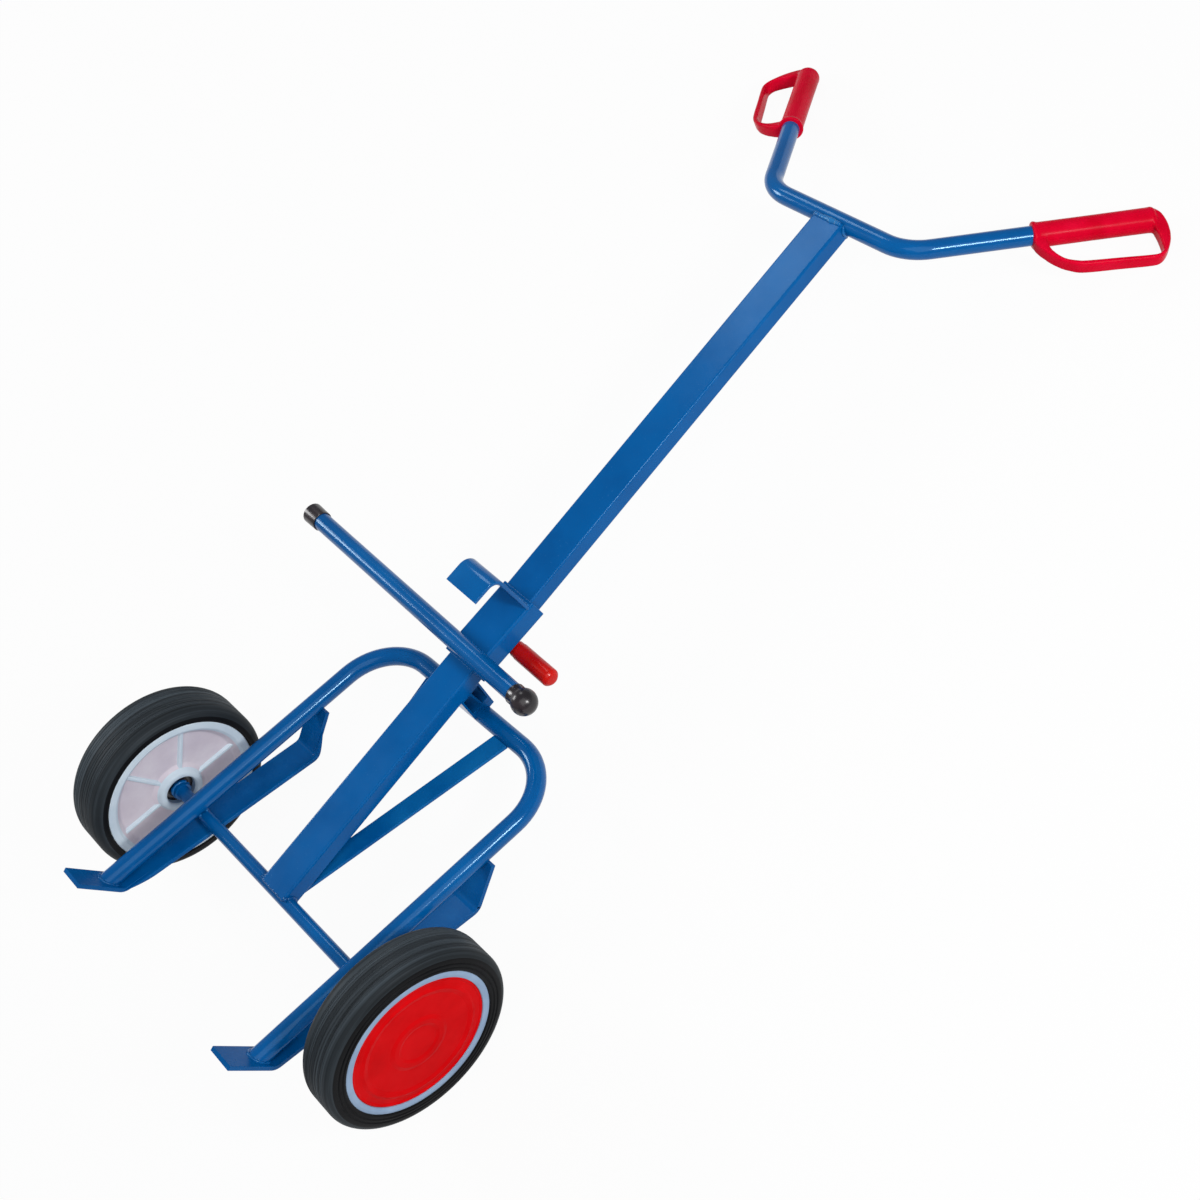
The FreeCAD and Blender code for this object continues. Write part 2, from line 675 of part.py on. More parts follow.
def hub_cap():
    """Slightly domed disc with a sunk ring between two circular steps."""
    edge = cap_seat + CAP_THICKNESS
    return spun([(0.0, cap_seat), (rim_inner, cap_seat), (rim_inner, edge),
                 (CAP_STEP_OUTER_RADIUS, edge + CAP_DOME),
                 (CAP_STEP_OUTER_RADIUS - CAP_STEP, edge + CAP_DOME - CAP_STEP),
                 (CAP_STEP_INNER_RADIUS + CAP_STEP, edge + CAP_DOME - CAP_STEP),
                 (CAP_STEP_INNER_RADIUS, edge + CAP_DOME), (0.0, edge + CAP_DOME)])


def bush():
    return ring(BUSH_RADIUS, axle_radius + BUSH_CLEARANCE, -boss_inner, boss_outer)


def axle_collar():
    high = -boss_inner - RUNNING_GAP
    return ring(COLLAR_RADIUS, axle_radius, high - COLLAR_LENGTH, high)


def axle_retainer():
    low = boss_outer + RUNNING_GAP
    return ring(RETAINER_RADIUS, axle_radius, low, low + RETAINER_THICKNESS)


def both_sides(name, solid):
    """A right-hand solid and its mirror image, with their node names."""
    return {"right_" + name: solid, "left_" + name: mirror(solid)}


def carriage():
    """The sliding pieces and the lever, hanging askew by the side play of the sleeve."""
    solids = {"carriage_sleeve": carriage_sleeve(), "rim_hook": rim_hook(), "cross_bar": cross_bar(),
              "right_bar_cap": bar_cap(BAR_RIGHT_REACH, 1.0), "left_bar_cap": bar_cap(BAR_LEFT_REACH, -1.0),
              "lever_bracket": lever_bracket(), "lever_pin": lever_pin(),
              "lock_lever": lock_lever(), "lever_grip": lever_grip()}
    for solid in solids.values():
        solid.rotate(sleeve_middle, Z_AXIS, -math.degrees(carriage_skew))
    return solids


def build():
    """All pieces by node name, in the working frame."""
    strip = right_toe_strip()
    solids = {"axle_rod": axle_rod(), "spine_tube": spine_tube(), "u_frame_tube": u_frame_tube(strip),
              "spine_bracket": spine_bracket(), "handlebar_tube": handlebar_tube()}
    solids.update(carriage())
    solids.update(both_sides("toe_strip", strip))
    solids.update(both_sides("brace", right_brace()))
    solids.update(both_sides("grip", right_grip()))
    wheel_pieces = {"tyre": tyre(), "hub": hub(), "hub_cap": hub_cap(), "bush": bush(),
                    "axle_collar": axle_collar(), "axle_retainer": axle_retainer()}
    for name, solid in wheel_pieces.items():
        solid.translate(X_AXIS * half_track)
        solids.update(both_sides(name, solid))
    return solids


def main():
    os.makedirs("parts", exist_ok=True)
    solids = build()
    box = Part.makeCompound(list(solids.values())).optimalBoundingBox(False, False)
    shift = Vector(-box.Center.x, -box.Center.y, -box.ZMin)
    for name, solid in sorted(solids.items()):
        solid.translate(shift)
        solid.exportStep("parts/" + name + ".step")
        print(name, "valid" if solid.isValid() else "NOT VALID", len(solid.Solids), round(solid.Volume))
    print("middle of the axle is at", shift)


main()
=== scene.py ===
import bpy
import bmesh
import math
from mathutils import Matrix, Vector, noise


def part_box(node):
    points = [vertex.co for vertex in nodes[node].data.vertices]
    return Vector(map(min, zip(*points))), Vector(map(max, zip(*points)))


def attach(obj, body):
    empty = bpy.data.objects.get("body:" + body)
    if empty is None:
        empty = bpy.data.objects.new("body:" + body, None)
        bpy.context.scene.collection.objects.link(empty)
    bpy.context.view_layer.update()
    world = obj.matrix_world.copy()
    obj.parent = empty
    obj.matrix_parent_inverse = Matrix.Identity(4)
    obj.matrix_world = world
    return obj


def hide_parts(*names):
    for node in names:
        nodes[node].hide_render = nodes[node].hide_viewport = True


# A drum trolley lying back on its wheels and hand grips, in metres, in the frame of the solids.
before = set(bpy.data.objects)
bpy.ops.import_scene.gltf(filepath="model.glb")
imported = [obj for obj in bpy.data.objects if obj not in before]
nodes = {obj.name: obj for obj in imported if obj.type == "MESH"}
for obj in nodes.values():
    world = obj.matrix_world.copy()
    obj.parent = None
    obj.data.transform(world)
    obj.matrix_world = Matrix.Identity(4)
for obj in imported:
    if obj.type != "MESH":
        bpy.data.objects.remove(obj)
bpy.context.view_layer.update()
scene = bpy.context.scene
MM = 0.001


def middle(node):
    """Middle of a node's box."""
    low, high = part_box(node)
    return (low + high) / 2


AXLE = middle("axle_rod")


def at(x, y, z):
    """A place given in millimetres from the middle of the axle."""
    return AXLE + Vector((x, y, z)) * MM


def in_metres(points):
    """Points given in millimetres, turned to metres."""
    return [tuple(value * MM for value in point) for point in points]


# Sizes of the solids that the new pieces follow, in millimetres, with angles turned to radians
LEG_LEAN = math.radians(14.15)
RUN_LEAN = math.radians(22.3)
TOE_LEAN = math.radians(16.7)
TAIL_LEAN = math.radians(32.0)
ARM_SPLAY = math.radians(38.9)
SKEW = math.radians(2.0)
AXLE_RADIUS = 9.0
TUBE_RADIUS = 12.5
LEG_RISE = 335.0
HALF_LEGS = 181.0
HANDLE_RISE = 1103.3
ARM_OFFSET = 120.7
ARM_LENGTH = 309.0
GRIP_LENGTH = 152.0
GRIP_RADIUS = 16.0
GRIP_EDGE = 3.0
WHEEL_RADIUS = 125.0
BRACKET_RISE = 27.0
SLEEVE_GAP = 5.9
SLEEVE_LENGTH = 113.0
SLEEVE_FRONT = 16.0
SPINE_HALF_WIDTH = 25.0
HEEL_DROP = 136.0
RUN_RISE = 162.0
STRIP_THICKNESS = 6.0
STRIP_HALF_WIDTH = 19.0


def lean_direction(angle):
    """Direction up a bar that leans back by an angle."""
    return Vector((0, math.cos(angle), -math.sin(angle)))


def front_normal(angle):
    """Direction that the front of such a bar faces."""
    return Vector((0, math.sin(angle), math.cos(angle)))


leg_direction = lean_direction(LEG_LEAN)
leg_base = front_normal(LEG_LEAN) * (AXLE_RADIUS + TUBE_RADIUS)
crossbar = leg_base + leg_direction * LEG_RISE
sleeve_rise = crossbar.y + BRACKET_RISE + SLEEVE_GAP
sleeve_middle = sleeve_rise + SLEEVE_LENGTH / 2
run_direction = lean_direction(RUN_LEAN)
run_base = front_normal(RUN_LEAN) * -(AXLE_RADIUS + STRIP_THICKNESS / 2)
heel = run_base - run_direction * HEEL_DROP
shoulder = run_base + run_direction * RUN_RISE
toe_direction = front_normal(-TOE_LEAN)
toe_up = lean_direction(-TOE_LEAN)
rest_span = ARM_LENGTH - GRIP_EDGE
rest_radius = GRIP_RADIUS - GRIP_EDGE
arm_drop = (math.asin((WHEEL_RADIUS - GRIP_EDGE) / math.hypot(rest_span, rest_radius))
            - math.atan2(rest_radius, rest_span))


def askew(x, y, z):
    """A place on the carriage, which hangs slightly askew on the spine."""
    up = y - sleeve_middle
    return at(math.cos(SKEW) * x + math.sin(SKEW) * up,
              sleeve_middle - math.sin(SKEW) * x + math.cos(SKEW) * up, z)


# Materials: scales of their noise are in waves per metre
NOISE_ROUGHNESS = 0.55
TONE_STOPS = (0.3, 0.5, 0.72)
GRAIN_DEPTH = 0.0005
PAINT_TONE_SCALE = 9.0
PAINT_CLOUD_SCALE = 48.0
PAINT_SPECK_SCALE = 380.0
PAINT_GRAIN_SCALE = 220.0
PAINT_GLOSS_SCALE = 30.0
PAINT_SHEEN = (0.5, 0.82, 1.0, 1.0)
PLASTIC_TONE_SCALE = 26.0
PLASTIC_GLOSS_SCALE = 55.0
RUBBER_PATCH_SCALE = 24.0
STEEL_PATCH_SCALE = 70.0
STEEL_GRAIN_SCALE = 900.0
STEEL_GRAIN_DEPTH = 0.0003


def srgb(red, green, blue):
    """A linear colour from the usual 0 to 255 values."""
    out = []
    for value in (red, green, blue):
        share = value / 255
        out.append(share / 12.92 if share <= 0.04045 else ((share + 0.055) / 1.055) ** 2.4)
    return (out[0], out[1], out[2], 1.0)


class Shader:
    """A material with a principled shader and a few helpers to link nodes."""

    def __init__(self, name):
        self.material = bpy.data.materials.new(name)
        self.material.use_nodes = True
        self.tree = self.material.node_tree
        self.shader = self.tree.nodes["Principled BSDF"]
        self.place = self.tree.nodes.new("ShaderNodeTexCoord").outputs["Object"]

    def node(self, kind, **inputs):
        made = self.tree.nodes.new(kind)
        for key, value in inputs.items():
            made.inputs[key.replace("_", " ")].default_value = value
        return made

    def link(self, source, target):
        self.tree.links.new(source, target)

    def stretched(self, scale):
        mapping = self.node("ShaderNodeMapping", Scale=scale)
        self.link(self.place, mapping.inputs["Vector"])
        return mapping.outputs["Vector"]

    def noise(self, scale, detail=4.0, place=None):
        made = self.node("ShaderNodeTexNoise", Scale=scale, Detail=detail, Roughness=NOISE_ROUGHNESS)
        self.link(place or self.place, made.inputs["Vector"])
        return made.outputs["Fac"]

    def ramp(self, source, stops):
        made = self.tree.nodes.new("ShaderNodeValToRGB")
        elements = made.color_ramp.elements
        while len(elements) < len(stops):
            elements.new(0.5)
        for element, (position, colour) in zip(elements, stops):
            element.position = position
            element.color = colour
        self.link(source, made.inputs["Fac"])
        return made.outputs["Color"]

    def span(self, source, low, high, start=0.3, end=0.7):
        made = self.tree.nodes.new("ShaderNodeMapRange")
        values = (start, end, low, high)
        for key, value in zip(("From Min", "From Max", "To Min", "To Max"), values):
            made.inputs[key].default_value = value
        self.link(source, made.inputs["Value"])
        return made.outputs["Result"]

    def mix(self, factor, first, second):
        made = self.tree.nodes.new("ShaderNodeMix")
        made.data_type = "RGBA"
        for key, value in (("Factor", factor), ("A", first), ("B", second)):
            sockets = [s for s in made.inputs if s.name == key and s.enabled]
            if isinstance(value, (tuple, float)):
                sockets[0].default_value = value
            else:
                self.link(value, sockets[0])
        return [s for s in made.outputs if s.enabled][0]

    def bump(self, source, strength, distance):
        made = self.node("ShaderNodeBump", Strength=strength, Distance=distance)
        self.link(source, made.inputs["Height"])
        return made.outputs["Normal"]

    def set(self, **values):
        for key, value in values.items():
            socket = self.shader.inputs[key.replace("_", " ")]
            if isinstance(value, (int, float, tuple)):
                socket.default_value = value
            else:
                self.link(value, socket)
        return self.material


def toned(shader, source, dark, colour, light):
    """A colour that wanders between a darker and a lighter one."""
    return shader.ramp(source, list(zip(TONE_STOPS, (dark, colour, light))))


def paint(name, colour, dark, light, rough, level, grain=0.0):
    """Sprayed paint over steel: slow tone changes, thin and thick patches and a few dust specks."""
    s = Shader(name)
    tone = toned(s, s.noise(PAINT_TONE_SCALE, 3.0), dark, colour, light)
    cloud = s.noise(PAINT_CLOUD_SCALE, 5.0)
    tone = s.mix(s.span(cloud, 0.0, 0.3, 0.5, 0.78), tone, light)
    speck = s.noise(PAINT_SPECK_SCALE, 2.0)
    tone = s.mix(s.span(speck, 0.0, 0.35, 0.71, 0.76), tone, srgb(70, 130, 184))
    if grain:
        s.set(Normal=s.bump(s.noise(PAINT_GRAIN_SCALE, 2.0), grain, GRAIN_DEPTH))
    gloss = s.span(s.noise(PAINT_GLOSS_SCALE, 4.0), rough - 0.02, rough + 0.04)
    return s.set(Base_Color=tone, Roughness=gloss, Specular_IOR_Level=level,
                 Specular_Tint=PAINT_SHEEN)


blue_paint = paint("blue_paint", colour=srgb(0, 83, 147), dark=srgb(0, 77, 139),
                   light=srgb(0, 91, 157), rough=0.15, level=0.36)
blue_satin = paint("blue_paint_satin", colour=srgb(0, 84, 149), dark=srgb(0, 78, 141),
                   light=srgb(0, 90, 157), rough=0.2, level=0.17, grain=0.02)
blue_flat = paint("blue_paint_flat", colour=srgb(0, 83, 147), dark=srgb(0, 73, 133),
                  light=srgb(12, 101, 164), rough=0.27, level=0.12, grain=0.04)
blue_weld = paint("blue_paint_weld", colour=srgb(0, 86, 150), dark=srgb(0, 64, 122),
                  light=srgb(60, 132, 188), rough=0.22, level=0.45, grain=0.04)


def moulded(name, colour, dark, light, rough, level, grain=0.0, size=500.0):
    """Moulded plastic: slight flow marks, uneven gloss and, where it has one, a grain."""
    s = Shader(name)
    tone = toned(s, s.noise(PLASTIC_TONE_SCALE, 4.0), dark, colour, light)
    if grain:
        s.set(Normal=s.bump(s.noise(size, 3.0), grain, GRAIN_DEPTH))
    gloss = s.span(s.noise(PLASTIC_GLOSS_SCALE, 3.0), rough - 0.04, rough + 0.06)
    return s.set(Base_Color=tone, Roughness=gloss, Specular_IOR_Level=level)


red_grip = moulded("red_grip", colour=srgb(203, 4, 40), dark=srgb(191, 2, 32), light=srgb(210, 10, 48),
                   rough=0.24, level=0.03)
red_cap = moulded("red_cap", colour=srgb(203, 4, 10), dark=srgb(193, 2, 7), light=srgb(209, 8, 15),
                  rough=0.42, level=0.03, grain=0.2, size=60.0)
red_lever = moulded("red_lever", colour=srgb(192, 16, 8), dark=srgb(180, 10, 5), light=srgb(202, 24, 14),
                    rough=0.24, level=0.2)
black_plastic = moulded("black_plastic", colour=srgb(31, 26, 30), dark=srgb(21, 18, 21),
                        light=srgb(52, 42, 46), rough=0.25, level=0.5)
hub_ring = moulded("hub_plastic_ring", colour=srgb(206, 220, 229), dark=srgb(198, 213, 223),
                   light=srgb(214, 226, 234), rough=0.4, level=0.2)
hub_web = moulded("hub_plastic_web", colour=srgb(214, 204, 212), dark=srgb(206, 195, 204),
                  light=srgb(222, 214, 220), rough=0.42, level=0.2)
# The same pale hub plastic, made darker and greyer as painted shade on the outer side of the hub
hub_outer_painted_shade = moulded("hub_plastic_outer_painted_shade", colour=srgb(138, 161, 188), dark=srgb(130, 152, 180),
                    light=srgb(148, 171, 197), rough=0.42, level=0.1)


def rubber(name, colour, dark, light, rough, level):
    """Tyre rubber with bands and fine lines around the wheel, which runs about X."""
    s = Shader(name)
    band = s.noise(1.0, 2.0, s.stretched((150.0, 2.0, 2.0)))
    fine = s.noise(1.0, 2.0, s.stretched((700.0, 6.0, 6.0)))
    patch = s.noise(RUBBER_PATCH_SCALE, 5.0)
    tone = s.ramp(band, ((0.32, dark), (0.5, colour), (0.68, light)))
    tone = s.mix(s.span(fine, 0.0, 0.45, 0.5, 0.75), tone, light)
    tone = s.mix(s.span(patch, 0.0, 0.3, 0.5, 0.8), tone, dark)
    gloss = s.span(patch, rough - 0.06, rough + 0.08)
    return s.set(Base_Color=tone, Roughness=gloss, Specular_IOR_Level=level)


tread_rubber = rubber("tyre_rubber_tread", colour=srgb(44, 49, 53), dark=srgb(31, 35, 38),
                      light=srgb(66, 74, 80), rough=0.5, level=0.06)
# Side wall rubber: partly the near-black rubber it is, and partly painted shade that makes the side walls
# darker still
side_rubber_and_painted_shade = rubber("tyre_rubber_side_and_painted_shade", colour=srgb(15, 16, 18), dark=srgb(9, 9, 11),
                     light=srgb(28, 30, 33), rough=0.45, level=0.06)


def steel(name):
    """Bare zinc plated steel with a fine grain."""
    s = Shader(name)
    patch = s.noise(STEEL_PATCH_SCALE, 5.0)
    tone = s.ramp(patch, ((0.3, srgb(150, 152, 152)), (0.7, srgb(196, 198, 200))))
    grain = s.bump(s.noise(STEEL_GRAIN_SCALE, 3.0), 0.12, STEEL_GRAIN_DEPTH)
    return s.set(Base_Color=tone, Metallic=1.0, Roughness=s.span(patch, 0.28, 0.45), Normal=grain)


zinc_steel = steel("zinc_steel")

# Mesh helpers


def finish_mesh(name, mesh_builder, body, materials, replaced=(), sharp=38.0, soften=None):
    """A mesh object from a bmesh, smooth but for its sharp edges, riding on a body."""
    bmesh.ops.recalc_face_normals(mesh_builder, faces=mesh_builder.faces)
    mesh = bpy.data.meshes.new(name)
    mesh_builder.to_mesh(mesh)
    mesh_builder.free()
    piece = bpy.data.objects.new(name, mesh)
    scene.collection.objects.link(piece)
    if soften:
        mesh = softened(piece, *soften)
        piece.data = mesh
    for material in materials:
        mesh.materials.append(material)
    mesh.shade_smooth()
    mesh.set_sharp_from_angle(angle=math.radians(sharp))
    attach(piece, body)
    if replaced:
        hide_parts(*replaced)
    return piece


def softened(piece, voxel, rounds):
    """The mesh of a piece whose shells are melted into one and smoothed, as a moulding is."""
    melt = piece.modifiers.new("melt", "REMESH")
    melt.mode = "VOXEL"
    melt.voxel_size = voxel
    relax = piece.modifiers.new("relax", "SMOOTH")
    relax.factor = 0.5
    relax.iterations = rounds
    bpy.context.view_layer.update()
    mesh = bpy.data.meshes.new_from_object(piece.evaluated_get(bpy.context.evaluated_depsgraph_get()))
    piece.modifiers.clear()
    return mesh


def rounded(points, steps=4):
    """A closed outline of (x, y, radius) points with an arc at each corner."""
    outline = []
    count = len(points)
    for index, (x, y, radius) in enumerate(points):
        corner = Vector((x, y))
        before = Vector(points[index - 1][:2]) - corner
        after = Vector(points[(index + 1) % count][:2]) - corner
        if radius <= 0 or before.length < 1e-9 or after.length < 1e-9:
            outline.append(corner)
            continue
        half = before.angle(after) / 2
        inset = min(radius / math.tan(half), before.length * 0.49, after.length * 0.49)
        size = inset * math.tan(half)
        bisector = (before.normalized() + after.normalized()).normalized()
        centre = corner + bisector * (size / math.sin(half))
        first = corner + before.normalized() * inset - centre
        last = corner + after.normalized() * inset - centre
        turn = first.angle_signed(last)
        for step in range(steps + 1):
            angle = -turn * step / steps
            outline.append(centre + Matrix.Rotation(angle, 2) @ first)
    return outline


def oblong(low, high, half, edge, steps):
    """A rectangle with rounded corners, from low to high and half as thick to both sides."""
    return rounded([(low, -half, edge), (high, -half, edge), (high, half, edge), (low, half, edge)], steps)


def lathe(builder, outline, origin, axis, count, slot_of=None):
    """A closed outline of (radius, place) points turned about an axis, in metres."""
    axis = axis.normalized()
    first = axis.orthogonal().normalized()
    second = axis.cross(first)
    rows = []
    for radius, place in outline:
        if radius < 1e-7:
            rows.append([builder.verts.new(origin + axis * place)])
            continue
        row = []
        for step in range(count):
            angle = 2 * math.pi * step / count
            out = first * math.cos(angle) + second * math.sin(angle)
            row.append(builder.verts.new(origin + axis * place + out * radius))
        rows.append(row)
    for index, row in enumerate(rows):
        other = rows[(index + 1) % len(rows)]
        if len(row) == 1 and len(other) == 1:
            continue
        for step in range(count):
            after = (step + 1) % count
            corners = [row[step % len(row)], row[after % len(row)], other[after % len(other)],
                       other[step % len(other)]]
            corners = [c for i, c in enumerate(corners) if c not in corners[:i]]
            face = builder.faces.new(corners)
            if slot_of:
                face.material_index = slot_of(index)


def join_rows(builder, rows):
    """Faces between closed rows of points, with flat caps at both ends."""
    for row, after in zip(rows, rows[1:]):
        for index in range(len(row)):
            other = (index + 1) % len(row)
            builder.faces.new((row[index], row[other], after[other], after[index]))
    builder.faces.new(rows[0])
    builder.faces.new(list(reversed(rows[-1])))


def sweep(builder, path, section, up, sizes=None):
    """A closed section swept along a path, with flat caps at both ends."""
    rows = []
    count = len(path)
    side = up.normalized()
    for index, point in enumerate(path):
        ahead = path[min(index + 1, count - 1)] - path[max(index - 1, 0)]
        ahead.normalize()
        side = (side - ahead * side.dot(ahead)).normalized()
        across = ahead.cross(side)
        size = sizes[index] if sizes else 1.0
        rows.append([builder.verts.new(point + (side * u + across * v) * size) for u, v in section])
    join_rows(builder, rows)


def smooth_path(points, radius, step):
    """Points along straight runs with arcs at the corners, in metres."""
    path = [points[0]]
    for before, corner, after in zip(points, points[1:], points[2:]):
        into = (corner - before).normalized()
        out = (after - corner).normalized()
        half = into.angle(out) / 2
        inset = radius * math.tan(half)
        normal = (out - into).normalized()
        centre = corner + normal * (radius / math.cos(half))
        first = corner - into * inset - centre
        axis = into.cross(out).normalized()
        turns = max(4, int(2 * half * radius / step))
        for index in range(turns + 1):
            path.append(centre + Matrix.Rotation(2 * half * index / turns, 3, axis) @ first)
    path.append(points[-1])
    dense = [path[0]]
    for point in path[1:]:
        start = dense[-1]
        pieces = max(1, int((point - start).length / step))
        dense += [start.lerp(point, (index + 1) / pieces) for index in range(pieces)]
    return dense


# Weld beads, with a fixed seed for their noise so that each run gives the same beads
NOISE_SEED = 1
WELD_STEP = 0.0014
WELD_SIDES = 10
RIPPLE_LENGTH = 0.0052
RIPPLE_SHARE = 0.07
WOBBLE_SCALE = 140
WOBBLE_SHARE = 0.38
SHAKE_SCALE = 90
SHAKE_SHARE = 0.22
noise.seed_set(NOISE_SEED)


def weld(name, points, radius, body, seed, up=Vector((0, 0, 1))):
    """An uneven weld bead along a line, with a ripple and blobs."""
    path = [points[0]]
    for point in points[1:]:
        start = path[-1]
        pieces = max(1, int((point - start).length / WELD_STEP))
        path += [start.lerp(point, (index + 1) / pieces) for index in range(pieces)]
    count = len(path)
    sizes = []
    moved = []
    for index, point in enumerate(path):
        wobble = noise.noise(point * WOBBLE_SCALE + Vector((seed * 7.3, 0, 0)))
        ripple = RIPPLE_SHARE * math.sin(index * WELD_STEP * 2 * math.pi / RIPPLE_LENGTH)
        end = min(index, count - 1 - index) * WELD_STEP / radius
        taper = math.sqrt(max(0.05, 1 - max(0.0, 1 - end) ** 2))
        sizes.append(radius * taper * (1 + WOBBLE_SHARE * wobble + ripple))
        shake = noise.noise_vector(point * SHAKE_SCALE + Vector((0, seed * 3.1, 0)))
        moved.append(point + shake * radius * SHAKE_SHARE)
    section = []
    for index in range(WELD_SIDES):
        angle = 2 * math.pi * index / WELD_SIDES
        section.append((math.cos(angle), math.sin(angle)))
    builder = bmesh.new()
    sweep(builder, moved, section, up, sizes)
    return finish_mesh(name, builder, body, [blue_weld], sharp=60.0)


# Wheels
GROOVE_SHARES = (0.03, 0.14, 0.22, 0.36, 0.5, 0.58, 0.72, 0.82, 0.9, 0.97)
GROOVE_WIDTH = 0.8 * MM
GROOVE_DEPTH = 0.7 * MM
OUTER_SHOULDER = 12 * MM
INNER_SHOULDER = 16 * MM
INNER_SETBACK = {"right": 5 * MM, "left": -5 * MM}
WHEEL_COUNT = 144
SMALL_COUNT = 72
RIM_DEPTH = 26 * MM
FLANGE_DEPTH = 19 * MM
BEAD_DEPTH = 6.5 * MM
HUB_INSET = 1.5 * MM
HUB_LIP = 9 * MM
HUB_SEAT = 4.5 * MM
HUB_FLANGE = 5 * MM
WEB_DEPTH = 11 * MM
WEB_THICKNESS = 6 * MM
WEB_EDGE = 33 * MM
BOSS_DEPTH = 1 * MM
BOSS_RADIUS = 31 * MM
BOSS_END = 18 * MM
BUSH_SEAT = 21 * MM
BUSH_RADIUS = 20.9 * MM
BUSH_BORE = 9.3 * MM
BUSH_DEPTH = 13 * MM
CAP_DEPTH = 35.2 * MM
CAP_SEAT = 6.0 * MM
CAP_FRONT = 3.4 * MM
RIB_DEPTH = 12.5 * MM
RIB_COUNT = 6
RIB_TURN = 45
RIB_START = 27
RIB_REACH = 66
RIB_STEPS = 12
RIB_SECTION = ((-3, -4.4, 0), (-3, 4.4, 0), (0.6, 3.4, 1.2), (4.0, 2.3, 2.0), (4.0, -2.3, 2.0),
               (0.6, -3.4, 1.2))
TREAD_DEPTH = 13 * MM
TREAD_INNER_EDGE = 1.2 * MM
TREAD_OUTER_EDGE = 1.6 * MM


def shoulder_arc(radius, face, size, steps):
    """Points of a round shoulder from the side wall at face up to the tread."""
    points = []
    for step in range(steps + 1):
        angle = math.pi / 2 * step / steps
        points.append((radius - size * (1 - math.sin(angle)), face - size * (1 - math.cos(angle)), 0))
    return points


def tyre_outline(radius, half, inner):
    """Outline of the tyre with bead, stepped side walls, round shoulders and grooved tread."""
    rim = radius - RIM_DEPTH
    flange = radius - FLANGE_DEPTH
    points = [(rim, half - 1.5 * MM, 0), (rim + 1.5 * MM, half - 0.1 * MM, 0.5 * MM),
              (rim + 4.2 * MM, half, 0.4 * MM), (rim + 5.0 * MM, half - 1.0 * MM, 0.3 * MM),
              (rim + 6.2 * MM, half - 1.0 * MM, 0.3 * MM), (rim + 7.0 * MM, half - 0.1 * MM, 0.4 * MM),
              (rim + 9.4 * MM, half - 0.3 * MM, 0.4 * MM), (rim + 10.2 * MM, half - 1.4 * MM, 0.3 * MM),
              (rim + 11.4 * MM, half - 1.4 * MM, 0.3 * MM), (rim + 12.2 * MM, half - 0.5 * MM, 0.4 * MM)]
    points += shoulder_arc(radius, half - 0.7 * MM, OUTER_SHOULDER, 10)
    tread_top = half - 0.7 * MM - OUTER_SHOULDER
    tread_end = -(inner - 0.5 * MM - INNER_SHOULDER)
    for share in GROOVE_SHARES:
        place = tread_top + (tread_end - tread_top) * share
        points += [(radius, place + GROOVE_WIDTH, 0.25 * MM),
                   (radius - GROOVE_DEPTH, place + GROOVE_WIDTH / 4, 0.15 * MM),
                   (radius - GROOVE_DEPTH, place - GROOVE_WIDTH / 4, 0.15 * MM),
                   (radius, place - GROOVE_WIDTH, 0.25 * MM)]
    arc = shoulder_arc(radius, inner - 0.5 * MM, INNER_SHOULDER, 10)
    points += [(r, -place, 0) for r, place, size in reversed(arc)]
    points += [(flange + 2.6 * MM, -inner + 0.3 * MM, 0.5 * MM), (flange + 2 * MM, -inner, 0.4 * MM),
               (flange, -inner + HUB_INSET, 0), (flange, -inner + BEAD_DEPTH, 0),
               (rim, -inner + BEAD_DEPTH, 0)]
    return rounded(points, 3)


def hub_outline(radius, half, inner):
    """Outline of the moulded hub, from its inner flange to the boss."""
    flange = radius - FLANGE_DEPTH
    rim = radius - RIM_DEPTH
    lip = rim - HUB_LIP
    edge = half - HUB_INSET
    face = -inner + HUB_INSET
    seat = edge - HUB_SEAT
    web = face + WEB_DEPTH
    web_back = web + WEB_THICKNESS
    boss = face + BOSS_DEPTH
    return rounded([(flange, face, 1.6 * MM), (flange, face + HUB_FLANGE, 0), (rim, face + HUB_FLANGE, 0),
                    (rim, edge, 0.8 * MM), (rim - 4.2 * MM, edge + 0.6 * MM, 1.0 * MM),
                    (lip, edge - 0.2 * MM, 1.0 * MM), (lip, seat, 0), (lip - 6 * MM, seat, 0),
                    (lip - 6 * MM, web_back, 2 * MM), (BOSS_RADIUS, web_back, 2 * MM),
                    (BOSS_RADIUS, BOSS_END, 1 * MM), (BUSH_SEAT, BOSS_END, 0),
                    (BUSH_SEAT, boss + 3 * MM, 2.5 * MM), (23 * MM, boss - 1.5 * MM, 3 * MM),
                    (29.5 * MM, boss - 1.0 * MM, 4 * MM), (33 * MM, web - 3.5 * MM, 3 * MM),
                    (38 * MM, web, 4 * MM), (lip - 5 * MM, web, 5 * MM),
                    (lip + 2 * MM, face + 3 * MM, 3 * MM), (flange - 10 * MM, face, 1.6 * MM)], 4)


def bush_outline(inner):
    """Outline of the black bush, sunk in the boss."""
    face = -inner + BUSH_DEPTH
    step = face + 1.5 * MM
    return rounded([(BUSH_BORE, BOSS_END, 0.5 * MM), (BUSH_RADIUS, BOSS_END, 0.5 * MM),
                    (BUSH_RADIUS, face, 0.8 * MM), (14.5 * MM, face, 0.6 * MM),
                    (13.8 * MM, step, 0.5 * MM), (BUSH_BORE, step, 0.6 * MM)], 3)


